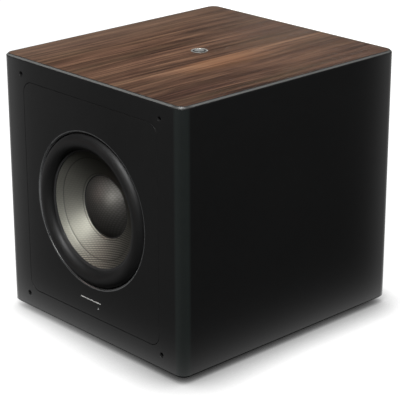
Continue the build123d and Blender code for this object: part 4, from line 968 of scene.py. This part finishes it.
def phono(name):
    """Phono socket: gold barrel, coloured liner, black block."""
    t = Tree(name)
    x, y, z = t.sep()
    lo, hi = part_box("rca_sockets")
    zc = (lo.z + hi.z) / 2
    first = lo.x + 0.006
    pitch = (hi.x - lo.x - 0.012) / 2
    idx = t.math("ROUND", t.math("DIVIDE", t.math("SUBTRACT", x, first), pitch))
    dx = t.math("SUBTRACT", t.math("SUBTRACT", x, first), t.math("MULTIPLY", idx, pitch))
    dz = t.math("SUBTRACT", z, zc)
    r = t.math("SQRT", t.math("ADD", t.math("MULTIPLY", dx, dx), t.math("MULTIPLY", dz, dz)))
    n = t.noise(None, 500.0, 3.0, 0.6)
    gold = t.ramp(n, [(0.3, (0.70, 0.48, 0.17)), (0.7, (0.86, 0.64, 0.27))])
    red = t.ramp(n, [(0.3, (0.28, 0.012, 0.010)), (0.7, (0.38, 0.020, 0.016))])
    white = t.ramp(n, [(0.3, (0.55, 0.55, 0.53)), (0.7, (0.68, 0.68, 0.66))])
    liner = t.mix(t.math("COMPARE", idx, 1.0, 0.3), white, red)
    black = t.ramp(n, [(0.3, (0.014, 0.014, 0.015)), (0.7, (0.026, 0.026, 0.027))])
    outer = t.math("GREATER_THAN", r, 0.0043)
    inner = t.math("LESS_THAN", r, 0.0031)
    plain = t.math("MAXIMUM", outer, inner)
    t.set(color=t.mix(outer, t.mix(inner, gold, liner), black), metal=t.math("SUBTRACT", 1.0, plain), rough=t.math("ADD", 0.20, t.math("MULTIPLY", plain, 0.25)),
          normal=t.bump(n, 0.06, 0.00005, t.bevel(0.0002)))
    return t.mat


M["phono"] = phono("phono_socket")
M["lens"] = lens("lamp_lens")
M["pcb"] = pcb("solder_mask_board")

give(M["cabinet"], "cabinet_shell")
give(M["fascia"], "front_fascia")
give(M["base"], "bottom_board")
give(M["board"], "top_board", "window_brace")
give(M["wood"], "top_veneer_panel")
give(M["trim"], "top_trim")
give(M["polish"], "accent_bar")
give(M["badge"], "top_badge")
give(M["lens"], "status_led_lens")
give(M["pcb"], "status_led_board", "power_board", "control_board")
give(M["socket"], "grille_sockets")
give(M["rubber"], "rubber_feet", "magnet_boot", "amp_gasket", "basket_gasket")
give(M["surround"], "surround", "surround_rubber", "cap_glue_bead")
give(M["cone"], "cone", "cone_weave")
give(M["cap"], "dust_cap", "dust_cap_weave")
give(M["nylon"], "fascia_clips", "terminal_block", "slide_switch_bodies", "mains_inlet")
give(M["fibre"], "damping_wadding", "wadding_sheets")
give(M["casting"], "driver_basket")
give(M["former"], "voice_coil_former", "shorting_ring")
give(M["copper"], "voice_coil", "tinsel_leads", "tinsel_lead_braids")
give(M["cloth"], "spider", "spider_cloth_disc")
give(M["zinc"], "motor_top_plate", "t_yoke", "driver_tee_nuts", "motor_screws", "foot_screws", "transformer_bolt", "pot_nuts", "control_pots",
     "volume_shaft", "crossover_shaft")
give(M["oxide"], "driver_screws", "amp_screws")
give(M["ferrite"], "magnet_rings")
give(M["jacket"], "driver_cable", "driver_cable_twin")
give(M["powder"], "amp_plate")
give(M["sink"], "heat_sink")
give(M["sheet"], "amp_back_box")
give(M["tape"], "toroidal_transformer")
give(M["sleeve"], "reservoir_capacitors")
give(M["epoxy"], "output_transistors")
give(M["knob"], "volume_knob", "crossover_knob", "fuse_drawer", "mains_rocker")
give(M["slider"], "phase_slider", "mode_slider")
give(M["ink"], "printed_scales", "volume_knob_pointer", "crossover_knob_pointer")
give(M["phono"], "rca_sockets")
give(M["nickel"], "inlet_pins")

# ---------------------------------------------------------------------------
# stage: pale floor, white surroundings, soft lamps, camera
# ---------------------------------------------------------------------------
def floor_material():
    """Pale matt floor, overexposed like a studio sweep. Seen in reflections it carries painted reflections placed by
    where on the object the reflecting point stands.
    """
    t = Tree("pale_floor")
    x, y, z = t.sep()
    n = t.noise(None, 6.0, 4.0, 0.6)
    ao = t.node("ShaderNodeAmbientOcclusion")
    ao.samples = 16
    # the contact shadow is narrow along the front and wider along the right side
    side, run = t.remap(x, 0.12, 0.205, 0.0, 1.0), t.math("SUBTRACT", x, y)

    def blend(a, b):
        return t.math("ADD", a, t.math("MULTIPLY", side, t.math("SUBTRACT", b, a)))
    t.link(blend(t.remap(run, 0.0, 0.35, 0.031, 0.078), t.remap(y, -0.2, 0.0, 0.084, 0.064)), ao.inputs["Distance"])
    shade = t.math("POWER", ao.outputs["AO"], blend(t.remap(run, 0.0, 0.35, 0.74, 1.42), t.remap(y, -0.2, 0.2, 1.55, 1.60)))
    white = t.ramp(n, [(0.3, (0.26, 0.26, 0.26)), (0.7, (0.28, 0.28, 0.28))])
    t.set(color=t.mix(1.0, white, shade, "MULTIPLY"), rough=0.95, spec=0.0, normal=t.bump(t.noise(None, 300.0, 2.0, 0.5), 0.02, 0.0002),
          emit=(1.0, 1.0, 1.0), emit_s=t.math("MULTIPLY", shade, 0.96))
    # seen from other surfaces: plain matt floor
    matt = t.node("ShaderNodeBsdfDiffuse")
    matt.inputs[0].default_value = (0.02, 0.02, 0.02, 1)
    # seen in reflections: painted reflections, an emission set by where on the object the reflecting point stands: on
    # the front toward its left end, on the sides toward the back, near the bottom, on the left and rear faces, faded
    # where the reflected ray comes steeply down
    lp = t.node("ShaderNodeLightPath")
    geo = t.node("ShaderNodeNewGeometry")
    ix, iy, iz = t.sep(geo.outputs["Incoming"])
    length = lp.outputs["Ray Length"]
    ox = t.math("MULTIPLY_ADD", ix, length, x)
    oy = t.math("MULTIPLY_ADD", iy, length, t.math("SUBTRACT", y, YO))
    oz = t.math("MULTIPLY", iz, length)
    left = t.math("ADD", t.remap(ox, -0.12, 0.05, 0.27, 0.17),
                  t.math("MINIMUM", t.math("MULTIPLY", t.math("EXPONENT", t.math("MULTIPLY", t.math("ADD", ox, 0.175), -1.0 / 0.022)), 0.55), 0.75))
    left = t.math("MULTIPLY", left, t.remap(oy, -0.2180, -0.2165, 1.0, 0.0))
    right = t.math("ADD", 0.11, t.math("MINIMUM", t.math("MULTIPLY", t.math("EXPONENT", t.math("MULTIPLY", t.math("SUBTRACT", oy, 0.197), 1.0 / 0.022)), 0.55), 0.75))
    outer = t.math("GREATER_THAN", t.math("MAXIMUM", t.math("ABSOLUTE", ox), oy), 0.184)
    right = t.math("MULTIPLY", right, outer)
    far = t.math("MAXIMUM", left, right)
    near = t.math("MULTIPLY", t.math("EXPONENT", t.math("MULTIPLY", t.math("SUBTRACT", oz, 0.012), -1.0 / 0.0225)), 1.6)
    near = t.math("MULTIPLY", near, t.remap(oz, 0.0125, 0.0140, 0.0, 1.0))
    # painted highlight: a bluish-green stripe down the near vertical edge
    band = t.remap(t.math("SUBTRACT", ox, oy), 0.4034, 0.4086, 0.0, 1.0)
    edge_highlight_tint = t.mix(band, (0.0, 0.0, 0.0), (0.26, 0.37, 0.34))
    behind = t.math("MAXIMUM", t.math("LESS_THAN", ox, -0.1990), t.remap(oy, 0.205, 0.2215, 0.0, 1.0))
    behind = t.math("MAXIMUM", behind, t.math("MULTIPLY", t.remap(ox, -0.1995, -0.188, 1.0, 0.0), t.math("GREATER_THAN", oy, 0.19)))
    painted_reflection_level = t.math("ADD", t.math("ADD", near, far), t.math("MULTIPLY", behind, 0.22))
    col = t.mix(1.0, t.comb(painted_reflection_level, painted_reflection_level, painted_reflection_level), edge_highlight_tint, "ADD")
    graze = t.remap(iz, 0.42, 0.66, 1.0, 0.02)
    col = t.mix(1.0, col, t.comb(graze, graze, graze), "MULTIPLY")
    refl = t.node("ShaderNodeEmission")
    t.link(col, refl.inputs["Color"])
    m1, m2 = t.node("ShaderNodeMixShader"), t.node("ShaderNodeMixShader")
    t.link(lp.outputs["Is Camera Ray"], m1.inputs[0])
    t.link(matt.outputs[0], m1.inputs[1])
    t.link(t.bsdf.outputs[0], m1.inputs[2])
    t.link(lp.outputs["Is Glossy Ray"], m2.inputs[0])
    t.link(m1.outputs[0], m2.inputs[1])
    t.link(refl.outputs[0], m2.inputs[2])
    t.link(m2.outputs[0], t.out.inputs["Surface"])
    return t.mat


fl = mesh_obj("floor", [(-16, -16, 0), (16, -16, 0), (16, 16, 0), (-16, 16, 0)], [(0, 1, 2, 3)], smooth=False)
fl.data.materials.append(floor_material())

world = bpy.data.worlds.new("studio")
scene.world = world
world.use_nodes = True
wn, wl = world.node_tree.nodes, world.node_tree.links
wn.clear()
wo = wn.new("ShaderNodeOutputWorld")
b_cam, b_env = wn.new("ShaderNodeBackground"), wn.new("ShaderNodeBackground")
b_cam.inputs[0].default_value = (1, 1, 1, 1)
b_cam.inputs[1].default_value = 1.02
tc = wn.new("ShaderNodeTexCoord")
sx_ = wn.new("ShaderNodeSeparateXYZ")
wl.new(tc.outputs["Generated"], sx_.inputs[0])
rp = wn.new("ShaderNodeValToRGB")
wl.new(sx_.outputs[2], rp.inputs[0])
rp.color_ramp.elements[0].position = 0.35
rp.color_ramp.elements[0].color = (0.004, 0.004, 0.0042, 1)
rp.color_ramp.elements[1].position = 1.0
rp.color_ramp.elements[1].color = (0.40, 0.40, 0.40, 1)
wl.new(rp.outputs[0], b_env.inputs[0])
b_env.inputs[1].default_value = 1.0
lpw = wn.new("ShaderNodeLightPath")
mxw = wn.new("ShaderNodeMixShader")
wl.new(lpw.outputs["Is Camera Ray"], mxw.inputs[0])
wl.new(b_env.outputs[0], mxw.inputs[1])
wl.new(b_cam.outputs[0], mxw.inputs[2])
wl.new(mxw.outputs[0], wo.inputs[0])


def area(name, loc, target, size, power, color=(1, 1, 1), size_y=None):
    d = bpy.data.lights.new(name, "AREA")
    d.shape = "RECTANGLE"
    d.size = size
    d.size_y = size_y or size
    d.energy = power
    d.color = color
    o = bpy.data.objects.new(name, d)
    scene.collection.objects.link(o)
    o.location = loc
    o.rotation_euler = (Vector(target) - Vector(loc)).to_track_quat("-Z", "Y").to_euler()
    return o


area("key_softbox", (0.80, -1.02, 1.72), (0, -0.2, 0.21), 0.55, 34.0)
area("front_softbox", (-0.09, -2.35, 0.88), (0, -0.2, 0.21), 0.60, 3.9, color=(1.0, 0.99, 0.93))
area("left_softbox", (-1.42, -1.72, 0.72), (0, -0.2, 0.21), 0.45, 0.75, color=(1.0, 0.72, 0.64), size_y=0.45)
area("top_softbox", (-0.2, 0.3, 2.3), (0, 0, 0.4), 1.4, 9.0)
area("back_left_softbox", (-1.25, 1.95, 0.26), (0, 0.2, 0.21), 0.9, 16.0, size_y=0.46)
area("rear_softbox", (0.9, 1.9, 1.5), (0, 0.2, 0.2), 1.2, 1.5)

# camera at the measured viewpoint
S = 0.405
yaw, pitch, roll = 0.8257, 0.35385, -0.00485
dist, focal, tx, ty = 6.22049, 1621.32, -0.03825, -0.07974
back = Vector((math.sin(yaw) * math.cos(pitch), -math.cos(yaw) * math.cos(pitch), math.sin(pitch)))
right = Vector((math.cos(yaw), math.sin(yaw), 0.0))
up = back.cross(right)
c_, s_ = math.cos(roll), math.sin(roll)
r2 = c_ * right + s_ * up
u2 = -s_ * right + c_ * up
pos = (back * dist + Vector((0, 0, 0.5)) + right * tx + up * ty) * S + Vector((0, YO, Z0))
cd = bpy.data.cameras.new("camera")
cd.sensor_fit = "HORIZONTAL"
cd.sensor_width = 36.0
cd.lens = focal * 36.0 / 400.0
cd.shift_x = (200.0 - 189.83) / 400.0
cd.shift_y = -(200.0 - 197.97) / 400.0
cd.clip_end = 60.0
cam = bpy.data.objects.new("camera", cd)
scene.collection.objects.link(cam)
m = Matrix((r2, u2, back)).transposed().to_4x4()
m.translation = pos
cam.matrix_world = m
scene.camera = cam
